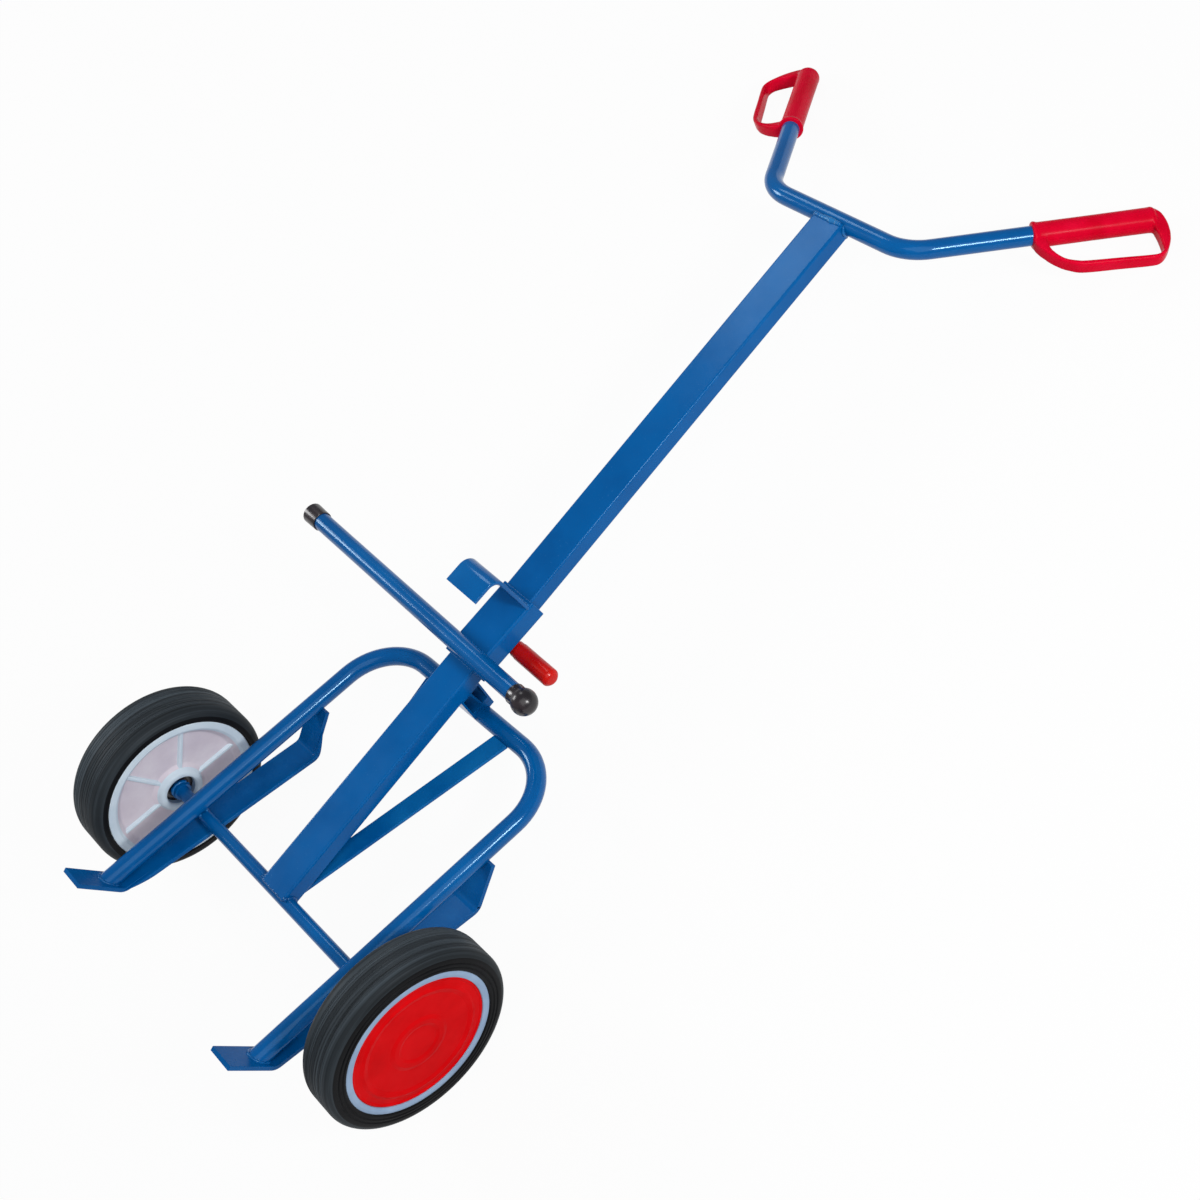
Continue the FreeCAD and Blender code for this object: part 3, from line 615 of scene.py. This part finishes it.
def cap_outline(radius, half):
    """Outline of the red cap: a shallow dish with soft rings pressed into it."""
    lip = radius - CAP_DEPTH
    seat = half - CAP_SEAT
    front = half - CAP_FRONT
    return rounded([(0, seat, 0), (lip, seat, 0), (lip, front + 0.6 * MM, 0.7 * MM),
                    (lip - 2.2 * MM, front + 0.9 * MM, 0.7 * MM),
                    (lip - 4.0 * MM, front - 0.3 * MM, 0.8 * MM),
                    (79 * MM, front + 0.3 * MM, 1.5 * MM), (75 * MM, front + 1.9 * MM, 2.0 * MM),
                    (69 * MM, front + 0.1 * MM, 2.5 * MM), (39 * MM, front + 0.2 * MM, 2.5 * MM),
                    (34 * MM, front + 1.8 * MM, 2.5 * MM), (28 * MM, front + 1.7 * MM, 2.5 * MM),
                    (24 * MM, front + 0.4 * MM, 2.0 * MM), (0, front + 0.5 * MM, 0)], 5)


def rib(builder, centre, outward, angle, inner):
    """One soft rib from the boss to the rim on the inner face of a hub."""
    web = -inner + RIB_DEPTH
    out = Vector((0, math.cos(angle), math.sin(angle)))
    path = []
    for index in range(RIB_STEPS + 1):
        reach = RIB_START + RIB_REACH * index / RIB_STEPS
        path.append(centre + outward * web + out * reach * MM)
    sweep(builder, path, rounded(in_metres(RIB_SECTION), 4), -outward)


def wheel(name, sign):
    """Tyre, hub with ribs, bush and cap of one wheel."""
    low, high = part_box(name + "_tyre")
    centre = (low + high) / 2
    half = (high.x - low.x) / 2
    radius = (high.z - low.z) / 2
    outward = Vector((sign, 0, 0))
    body = name + "_wheel"
    inner = half - INNER_SETBACK[name]
    tyre = tyre_outline(radius, half, inner)
    hub = hub_outline(radius, half, inner)

    def tyre_part(index):
        """Tread or side wall, by the place on the outline; the side wall takes the near-black rubber,
        darkened further as painted shade.
        """
        place = (tyre[index][1] + tyre[(index + 1) % len(tyre)][1]) / 2
        between = -inner + TREAD_INNER_EDGE < place < half - TREAD_OUTER_EDGE
        return 0 if between and tyre[index][0] > radius - TREAD_DEPTH else 1

    def hub_part(index):
        """Ring, web or outer side, by the place on the outline; the outer side takes a darker copy of the
        plastic, as painted shade.
        """
        distance, place = hub[index]
        if place > 0:
            return 2
        return 1 if WEB_EDGE < distance < radius - WEB_EDGE else 0

    builder = bmesh.new()
    lathe(builder, tyre, centre, outward, WHEEL_COUNT, tyre_part)
    finish_mesh(name + "_tyre_look", builder, body, [tread_rubber, side_rubber_and_painted_shade],
                [name + "_tyre"])
    builder = bmesh.new()
    lathe(builder, hub, centre, outward, WHEEL_COUNT, hub_part)
    for index in range(RIB_COUNT):
        rib(builder, centre, outward, math.radians(RIB_TURN + 360 / RIB_COUNT * index), inner)
    finish_mesh(name + "_hub_look", builder, body, [hub_ring, hub_web, hub_outer_painted_shade],
                [name + "_hub"])
    builder = bmesh.new()
    lathe(builder, bush_outline(inner), centre, outward, SMALL_COUNT)
    finish_mesh(name + "_bush_look", builder, body, [black_plastic], [name + "_bush"])
    builder = bmesh.new()
    lathe(builder, cap_outline(radius, half), centre, outward, WHEEL_COUNT)
    finish_mesh(name + "_cap_look", builder, body, [red_cap], [name + "_hub_cap"])


wheel("right", 1)
wheel("left", -1)

# Hand grips
GUARD_REACH = 67.0
GUARD_HALF_WIDTH = 9.5
GUARD_SHARES = ((0.0, 0.28), (0.055, 0.5), (0.142, 0.73), (0.225, 0.86), (0.335, 0.95), (0.62, 0.98),
                (0.88, 1.0), (0.955, 0.965), (1.015, 0.83), (1.06, 0.62), (1.08, 0.4), (1.08, 0.16),
                (1.055, -0.06))
OPENING_SHARES = ((0.107, 0.4), (0.137, 0.57), (0.2, 0.73), (0.28, 0.81), (0.367, 0.845), (0.64, 0.88),
                  (0.88, 0.915), (0.945, 0.895), (0.98, 0.82), (0.985, 0.62), (0.98, 0.42), (0.965, 0.2),
                  (0.94, 0.0))
ROOT_SHARES = ((-0.01, 0.05), (0.09, 0.05)), ((1.0, -0.2), (0.93, -0.1))
GUARD_EDGE = 3.0
GUARD_STEPS = 6
GRIP_PROFILE = ((0, 0, 0), (17.6, 0, 1.2), (17.6, 4, 1.5), (16, 6, 1.5), (15.8, 70, 0), (16, 145, 1.0),
                (16.6, 148, 1.0), (14.5, 152, 2.0), (0, 152.5, 0))
GRIP_VOXEL = 1.3 * MM
GRIP_ROUNDS = 14


def spline(points, count):
    """Points along a smooth curve through the given points."""
    ends = [points[0] * 2 - points[1], *points, points[-1] * 2 - points[-2]]
    path = []
    for before, start, end, after in zip(ends, ends[1:], ends[2:], ends[3:]):
        for step in range(count):
            t = step / count
            square = 2 * before - 5 * start + 4 * end - after
            cube = 3 * start - before - 3 * end + after
            path.append(0.5 * (2 * start + (end - before) * t + square * t * t + cube * t ** 3))
    path.append(points[-1])
    return path


def grip(name, sign):
    """A moulded grip: a flanged barrel and a closed guard with soft edges, melted together."""
    arm = Vector((sign * math.sin(ARM_SPLAY) * math.cos(arm_drop),
                  math.cos(ARM_SPLAY) * math.cos(arm_drop), -math.sin(arm_drop)))
    root = at(sign * ARM_OFFSET, HANDLE_RISE, 0)
    start = root + arm * (ARM_LENGTH - GRIP_LENGTH) * MM
    outward = arm.cross(Vector((0, 0, 1))).normalized() * sign
    across = arm.cross(outward).normalized()

    def curve(first, shares, last):
        """A smooth curve through shares of the grip's length and the guard's reach."""
        places = []
        for along, out in (first, *shares, last):
            places.append(start + arm * (along * GRIP_LENGTH * MM) + outward * (out * GUARD_REACH * MM))
        return spline(places, GUARD_STEPS)

    builder = bmesh.new()
    lathe(builder, rounded(in_metres(GRIP_PROFILE), 4), start, arm, SMALL_COUNT)
    outer = curve(ROOT_SHARES[0][0], GUARD_SHARES, ROOT_SHARES[1][0])
    inner = curve(ROOT_SHARES[0][1], OPENING_SHARES, ROOT_SHARES[1][1])
    wide = GUARD_HALF_WIDTH * MM
    rows = []
    for first, last in zip(outer, inner):
        half = (last - first).length / 2
        middle_point = (first + last) / 2
        inwards = (last - first).normalized()
        edge = min(GUARD_EDGE * MM, half * 0.8)
        section = oblong(-wide, wide, half, edge, 4)
        rows.append([builder.verts.new(middle_point + across * u + inwards * v) for u, v in section])
    join_rows(builder, rows)
    finish_mesh(name + "_grip_look", builder, "frame", [red_grip], [name + "_grip"],
                soften=(GRIP_VOXEL, GRIP_ROUNDS))


grip("right", 1)
grip("left", -1)

# Cross bar caps and lever grip
BAR_RISE = 15.5
RIGHT_BAR_REACH = 128.0
LEFT_BAR_REACH = 347.0
BALL_RADIUS = 17.3 * MM
BALL_PLACE = 3.0 * MM
BALL_STEPS = 16
SKIRT_RADIUS = 13.9 * MM
PLUG_PROFILE = ((0, -16, 0), (13.6, -17, 0.3), (14.1, -16.6, 0.4), (14.7, 8.6, 1.2), (13.4, 9.9, 0.8),
                (0, 10.2, 0))
LEVER_SIDE = 22.0
LEVER_RISE = 58.0
LEVER_DEPTH = 11.5
LEVER_COUNT = 64
LEVER_PROFILE = ((0, 1, 0), (10.4, 0, 0.8), (11.3, 2, 1), (11.3, 8.6, 1), (12.0, 9.6, 1),
                 (12.1, 72.4, 4.5), (7.8, 76.8, 5), (0, 77.4, 0))
bar_y = sleeve_rise + BAR_RISE
bar_z = SLEEVE_FRONT + TUBE_RADIUS
bar_axis = Vector((math.cos(SKEW), -math.sin(SKEW), 0))


def bar_cap(name, reach, sign, profile):
    """A soft plastic cap on one end of the cross bar."""
    builder = bmesh.new()
    end = askew(sign * reach, bar_y, bar_z)
    lathe(builder, rounded(profile, 8), end, bar_axis * sign, SMALL_COUNT)
    finish_mesh(name + "_bar_cap_look", builder, "carriage", [black_plastic],
                [name + "_bar_cap"], sharp=50.0)


def ball_profile():
    """Skirt and ball of the right cap."""
    points = [(0, -16 * MM, 0), (13.2 * MM, -17 * MM, 0.3 * MM), (SKIRT_RADIUS, -16.4 * MM, 0.4 * MM)]
    first = math.asin(SKIRT_RADIUS / BALL_RADIUS)
    for step in range(BALL_STEPS + 1):
        angle = math.pi - first + (first - math.pi) * step / BALL_STEPS
        points.append((BALL_RADIUS * math.sin(angle), BALL_PLACE + BALL_RADIUS * math.cos(angle), 0))
    return points


def lever_handle():
    """The red grip on the locking lever."""
    builder = bmesh.new()
    start = askew(LEVER_SIDE, sleeve_rise + LEVER_RISE, -SLEEVE_FRONT - LEVER_DEPTH)
    lathe(builder, rounded(in_metres(LEVER_PROFILE), 8), start, bar_axis, LEVER_COUNT)
    finish_mesh("lever_grip_look", builder, "lever", [red_lever], ["lever_grip"], sharp=50.0)


bar_cap("right", RIGHT_BAR_REACH, 1, ball_profile())
bar_cap("left", LEFT_BAR_REACH, -1, in_metres(PLUG_PROFILE))
lever_handle()

# Rim hook
HOOK_WIDTH = 60.0
HOOK_THICKNESS = 5.0
HOOK_REACH = 81.0
HOOK_DROP = 39.0
HOOK_BEND = 15.0
HOOK_INSET = 6.0
HOOK_LAP = 2.0
HOOK_EDGE = 1.2
HOOK_STEP = 2.0
hook_y = sleeve_rise + SLEEVE_LENGTH - HOOK_INSET - HOOK_THICKNESS / 2


def hook():
    """A flat bar bent over at the front, with soft edges."""
    builder = bmesh.new()
    lip = SLEEVE_FRONT + HOOK_REACH
    points = [askew(0, hook_y, SLEEVE_FRONT - HOOK_LAP), askew(0, hook_y, lip),
              askew(0, hook_y - HOOK_DROP, lip)]
    wide = HOOK_WIDTH / 2 * MM
    half = HOOK_THICKNESS / 2 * MM
    edge = HOOK_EDGE * MM
    section = oblong(-wide, wide, half, edge, 4)
    sweep(builder, smooth_path(points, HOOK_BEND * MM, HOOK_STEP * MM), section, bar_axis)
    finish_mesh("rim_hook_look", builder, "carriage", [blue_paint], ["rim_hook"])


hook()

# Inner edges of the toe strips, which thin out towards both ends
EDGE_WIDTH = 6.5
EDGE_LAP = 1.0
EDGE_ROUND = 0.8
EDGE_STEP = 3.0
EDGE_BEND = 14.0
EDGE_TAPER = 45.0
EDGE_TIP = 0.05
TAIL_EDGE = 40.0


def strip_edges():
    """The inner edge of each toe strip, as a thin piece along it."""
    tail = shoulder + lean_direction(-TAIL_LEAN) * TAIL_EDGE
    half = STRIP_THICKNESS / 2 * MM
    rounding = EDGE_ROUND * MM
    for sign, tag in ((1, "right"), (-1, "left")):
        x = sign * (HALF_LEGS - STRIP_HALF_WIDTH)
        points = [at(x, spot.y, spot.z) for spot in (heel, shoulder, tail)]
        path = smooth_path(points, EDGE_BEND * MM, EDGE_STEP * MM)
        sizes = []
        for point in path:
            reach = min((point - path[0]).length, (point - path[-1]).length)
            swell = math.sin(math.pi / 2 * min(1.0, reach / (EDGE_TAPER * MM)))
            sizes.append(EDGE_TIP + (1 - EDGE_TIP) * swell)
        inner = -sign * EDGE_WIDTH * MM
        lap = sign * EDGE_LAP * MM
        low, high = min(inner, lap), max(inner, lap)
        section = oblong(low, high, half, rounding, 3)
        builder = bmesh.new()
        sweep(builder, path, section, Vector((1, 0, 0)), sizes)
        finish_mesh(tag + "_strip_edge", builder, "frame", [blue_flat])


strip_edges()

# Radii of the weld beads
HANDLE_BEAD = 3.6
HANDLE_SIDE_BEAD = 2.6
AXLE_BEAD = 2.2
AXLE_SIDE_BEAD = 2.6
BLOB_BEAD = 3.6
LEG_BEAD = 3.0
STRIP_BEAD = 2.6
FOOT_BEAD = 1.7
HOOK_BEAD = 2.0
BAR_BEAD = 2.6
COLLAR_BEAD = 2.6

# Places of the weld beads
HANDLE_SEAM_DROP = 9.0
HANDLE_SEAM_FRONT = 12.8
HANDLE_SEAM_HALF = 23
AXLE_SEAM_RISE = 0.5
AXLE_SEAM_FRONT = 10.4
AXLE_SEAM_HALF = 24
SIDE_SEAM_GAP = 0.5
SIDE_SEAM_HALF = 10.5
SIDE_SEAM_STEPS = 12
AXLE_SIDE_SHARE = 0.8
BLOB_ENDS = ((22, 4, 12), (27, 2, 10))
LEG_SEAM_SHIFT = 5.0
LEG_SEAM_HALF = 9
STRIP_SEAM_SHARE = 1.1
STRIP_SEAM_HALF = 17
FOOT_GAP = 0.6
RING_STEPS = 36
CARRIAGE_SEAM_HALF = 28
HOOK_SEAM_RISE = 2.8
HOOK_SEAM_FRONT = 0.4
BAR_SEAM_SHIFT = 7.0
BAR_SEAM_FRONT = 1.2
COLLAR_FACE = 241.0
COLLAR_RING = 11.2


def level(place, x, half, y, z):
    """Both ends of a line along X, set out by a function that places points."""
    return [place(x - half, y, z), place(x + half, y, z)]


def ring_angles():
    """Angles once around, with the first one again at the end."""
    return [2 * math.pi * index / RING_STEPS for index in range(RING_STEPS + 1)]


def spine_welds():
    """Beads of the spine on the handlebar and on the axle."""
    top = HANDLE_RISE - HANDLE_SEAM_DROP
    side = SPINE_HALF_WIDTH + SIDE_SEAM_GAP
    for sign, tag in ((1, "front"), (-1, "back")):
        seam = level(at, 0, HANDLE_SEAM_HALF, top, sign * HANDLE_SEAM_FRONT)
        weld("weld_handle_" + tag, seam, HANDLE_BEAD * MM, "frame", sign + 2)
        seam = level(at, 0, AXLE_SEAM_HALF, AXLE_SEAM_RISE, sign * AXLE_SEAM_FRONT)
        weld("weld_axle_" + tag, seam, AXLE_BEAD * MM, "frame", sign + 5)
    for sign, tag in ((1, "right"), (-1, "left")):
        under = []
        over = []
        for index in range(SIDE_SEAM_STEPS + 1):
            z = SIDE_SEAM_HALF - 2 * SIDE_SEAM_HALF * index / SIDE_SEAM_STEPS
            under.append(at(sign * side, HANDLE_RISE - math.sqrt(TUBE_RADIUS ** 2 - z * z), z))
            z = z * AXLE_SIDE_SHARE
            over.append(at(sign * side, math.sqrt(AXLE_RADIUS ** 2 - z * z), z))
        weld("weld_handle_" + tag, under, HANDLE_SIDE_BEAD * MM, "frame", sign + 9)
        weld("weld_axle_" + tag, over, AXLE_SIDE_BEAD * MM, "frame", sign + 13)
        blob = [at(sign * x, y, z) for x, y, z in BLOB_ENDS]
        weld("weld_axle_blob_" + tag, blob, BLOB_BEAD * MM, "frame", sign + 21)


def leg_welds():
    """Beads of the legs and toe strips on the axle, and of the legs on the toes."""
    touch = front_normal(LEG_LEAN) * AXLE_RADIUS
    back = front_normal(RUN_LEAN) * -AXLE_RADIUS
    tilt = math.cos(LEG_LEAN + TOE_LEAN)
    gap = heel + toe_up * (STRIP_THICKNESS / 2) - leg_base
    cross = leg_direction.y * toe_direction.z - leg_direction.z * toe_direction.y
    foot = leg_base + leg_direction * ((gap.y * toe_direction.z - gap.z * toe_direction.y) / cross)
    size = TUBE_RADIUS + FOOT_GAP
    for sign, tag in ((1, "right"), (-1, "left")):
        x = sign * HALF_LEGS
        for part, shift in (("upper", LEG_SEAM_SHIFT), ("lower", -LEG_SEAM_SHIFT)):
            spot = touch + leg_direction * shift
            seam = level(at, x, LEG_SEAM_HALF, spot.y, spot.z)
            weld("weld_leg_%s_%s" % (part, tag), seam, LEG_BEAD * MM, "frame", x + shift)
            spot = back + run_direction * shift * STRIP_SEAM_SHARE
            seam = level(at, x, STRIP_SEAM_HALF, spot.y, spot.z)
            weld("weld_strip_%s_%s" % (part, tag), seam, STRIP_BEAD * MM, "frame", x - shift)
        ring = []
        for angle in ring_angles():
            spot = foot + toe_direction * (math.sin(angle) * size / tilt)
            ring.append(at(x + math.cos(angle) * size, spot.y, spot.z))
        weld("weld_foot_" + tag, ring, FOOT_BEAD * MM, "frame", x)


def carriage_welds():
    """Beads of the hook and the cross bar on the sleeve."""
    seam = level(askew, 0, CARRIAGE_SEAM_HALF, hook_y + HOOK_SEAM_RISE, SLEEVE_FRONT + HOOK_SEAM_FRONT)
    weld("weld_hook", seam, HOOK_BEAD * MM, "carriage", 31)
    for part, shift in (("upper", BAR_SEAM_SHIFT), ("lower", -BAR_SEAM_SHIFT)):
        seam = level(askew, 0, CARRIAGE_SEAM_HALF, bar_y + shift, SLEEVE_FRONT + BAR_SEAM_FRONT)
        weld("weld_bar_" + part, seam, BAR_BEAD * MM, "carriage", shift)


def collar_welds():
    """Blobs of weld around the axle where the collars are tacked on."""
    for sign, tag in ((1, "right"), (-1, "left")):
        ring = []
        for angle in ring_angles():
            y = math.cos(angle) * COLLAR_RING
            z = math.sin(angle) * COLLAR_RING
            ring.append(at(sign * COLLAR_FACE, y, z))
        weld("weld_collar_" + tag, ring, COLLAR_BEAD * MM, "frame", sign * 17, Vector((1, 0, 0)))


spine_welds()
leg_welds()
carriage_welds()
collar_welds()

# Finish of the solids that stay
SOFT_EDGED = ("left_toe_strip", "right_toe_strip", "left_brace", "right_brace", "spine_bracket",
              "lever_bracket", "carriage_sleeve")
JOIN_GAP = 0.01 * MM
BEVEL_WIDTH = 0.9 * MM
BEVEL_STEPS = 3
BEVEL_ANGLE = math.radians(40.0)
for name in SOFT_EDGED:
    join = nodes[name].modifiers.new("join", "WELD")
    join.merge_threshold = JOIN_GAP
    edge = nodes[name].modifiers.new("edge", "BEVEL")
    edge.width = BEVEL_WIDTH
    edge.segments = BEVEL_STEPS
    edge.limit_method = "ANGLE"
    edge.angle_limit = BEVEL_ANGLE
    even = nodes[name].modifiers.new("even", "WEIGHTED_NORMAL")
    even.keep_sharp = True
for name, node in nodes.items():
    node.data.materials.clear()
    if name in ("lever_pin", "lock_lever") or name.endswith("retainer"):
        node.data.materials.append(zinc_steel)
    elif name.endswith("bush"):
        node.data.materials.append(black_plastic)
    elif name.endswith("brace") or name.endswith("toe_strip"):
        node.data.materials.append(blue_flat)
    elif name in ("spine_tube", "carriage_sleeve", "spine_bracket", "rim_hook", "lever_bracket"):
        node.data.materials.append(blue_satin)
    else:
        node.data.materials.append(blue_paint)

# Floor, light and camera
FLOOR_CELLS = 8
FLOOR_HALF = 30.0
FLOOR_GREY = (0.62, 0.62, 0.62, 1.0)
FLOOR_WHITE_SHARE = 0.95
WORLD_COLOUR = (0.3, 0.31, 0.33, 1.0)
CAMERA_PLACE = (1477.4, 362.5, 1772.1)
CAMERA_FORWARD = (-0.6126, 0.0741, -0.7869)
CAMERA_UP = (-0.4671, 0.7694, 0.4357)
CAMERA_CLIP = 100.0
FOCAL_PIXELS = 1838.465
PICTURE_PIXELS = 1200
SENSOR_WIDTH = 36.0


def build_floor():
    """A wide floor that takes light as grey but looks white to the camera and in reflections."""
    builder = bmesh.new()
    bmesh.ops.create_grid(builder, x_segments=FLOOR_CELLS, y_segments=FLOOR_CELLS, size=FLOOR_HALF)
    mesh = bpy.data.meshes.new("floor")
    builder.to_mesh(mesh)
    builder.free()
    floor = bpy.data.objects.new("floor", mesh)
    scene.collection.objects.link(floor)
    material = bpy.data.materials.new("floor_white")
    material.use_nodes = True
    tree = material.node_tree
    tree.nodes.clear()
    output = tree.nodes.new("ShaderNodeOutputMaterial")
    mix = tree.nodes.new("ShaderNodeMixShader")
    diffuse = tree.nodes.new("ShaderNodeBsdfDiffuse")
    diffuse.inputs["Color"].default_value = FLOOR_GREY
    white = tree.nodes.new("ShaderNodeEmission")
    path = tree.nodes.new("ShaderNodeLightPath")
    seen = tree.nodes.new("ShaderNodeMath")
    seen.operation = "MAXIMUM"
    through = tree.nodes.new("ShaderNodeMath")
    through.operation = "MAXIMUM"
    share = tree.nodes.new("ShaderNodeMath")
    share.operation = "MULTIPLY"
    share.inputs[1].default_value = FLOOR_WHITE_SHARE
    tree.links.new(path.outputs["Is Camera Ray"], seen.inputs[0])
    tree.links.new(path.outputs["Is Glossy Ray"], seen.inputs[1])
    tree.links.new(seen.outputs["Value"], through.inputs[0])
    tree.links.new(path.outputs["Is Transmission Ray"], through.inputs[1])
    tree.links.new(through.outputs["Value"], share.inputs[0])
    tree.links.new(share.outputs["Value"], mix.inputs["Fac"])
    tree.links.new(diffuse.outputs["BSDF"], mix.inputs[1])
    tree.links.new(white.outputs["Emission"], mix.inputs[2])
    tree.links.new(mix.outputs["Shader"], output.inputs["Surface"])
    mesh.materials.append(material)


def build_world():
    """A dim, even light from all sides."""
    world = bpy.data.worlds.new("studio")
    scene.world = world
    world.use_nodes = True
    back = world.node_tree.nodes["Background"]
    back.inputs["Color"].default_value = WORLD_COLOUR


def lamp(name, place, target, width, height, power, along=(0, 0, 1)):
    """A flat lamp that faces a target, with its width along a direction."""
    light = bpy.data.lights.new(name, "AREA")
    light.shape = "RECTANGLE"
    light.size = width
    light.size_y = height
    light.energy = power
    holder = bpy.data.objects.new(name, light)
    scene.collection.objects.link(holder)
    back = (Vector(place) - Vector(target)).normalized()
    wide = Vector(along)
    wide = (wide - back * wide.dot(back)).normalized()
    turn = Matrix((wide, back.cross(wide), back)).transposed().to_4x4()
    holder.matrix_world = Matrix.Translation(Vector(place)) @ turn


def build_camera():
    """The camera of the photo, solved from the straight tube edges."""
    forward = Vector(CAMERA_FORWARD).normalized()
    up = Vector(CAMERA_UP)
    up = (up - forward * up.dot(forward)).normalized()
    right = forward.cross(up)
    camera = bpy.data.cameras.new("camera")
    camera.sensor_width = SENSOR_WIDTH
    camera.lens = FOCAL_PIXELS / PICTURE_PIXELS * SENSOR_WIDTH
    camera.clip_end = CAMERA_CLIP
    holder = bpy.data.objects.new("camera", camera)
    scene.collection.objects.link(holder)
    turn = Matrix((right, up, -forward)).transposed().to_4x4()
    holder.matrix_world = Matrix.Translation(at(*CAMERA_PLACE)) @ turn
    scene.camera = holder


build_floor()
build_world()
lamp("window", place=(-4.0, -1.54, 2.63), target=(0, -0.1, 0.2), width=1.5, height=1.5, power=104.0)
lamp("rim", place=(-1.33, 1.08, 1.75), target=(0, 0.2, 0.2), width=0.6, height=0.6, power=6.0)
lamp("side", place=(1.94, 0.43, 1.34), target=(0.22, 0.6, 0.12), width=0.36, height=0.5, power=30.0,
     along=(0.5, -0.653, -0.5))
lamp("front", place=(2.0, -0.4, 3.0), target=(0, 0, 0.1), width=3.2, height=3.2, power=46.0)
build_camera()
scene.view_settings.view_transform = "Standard"
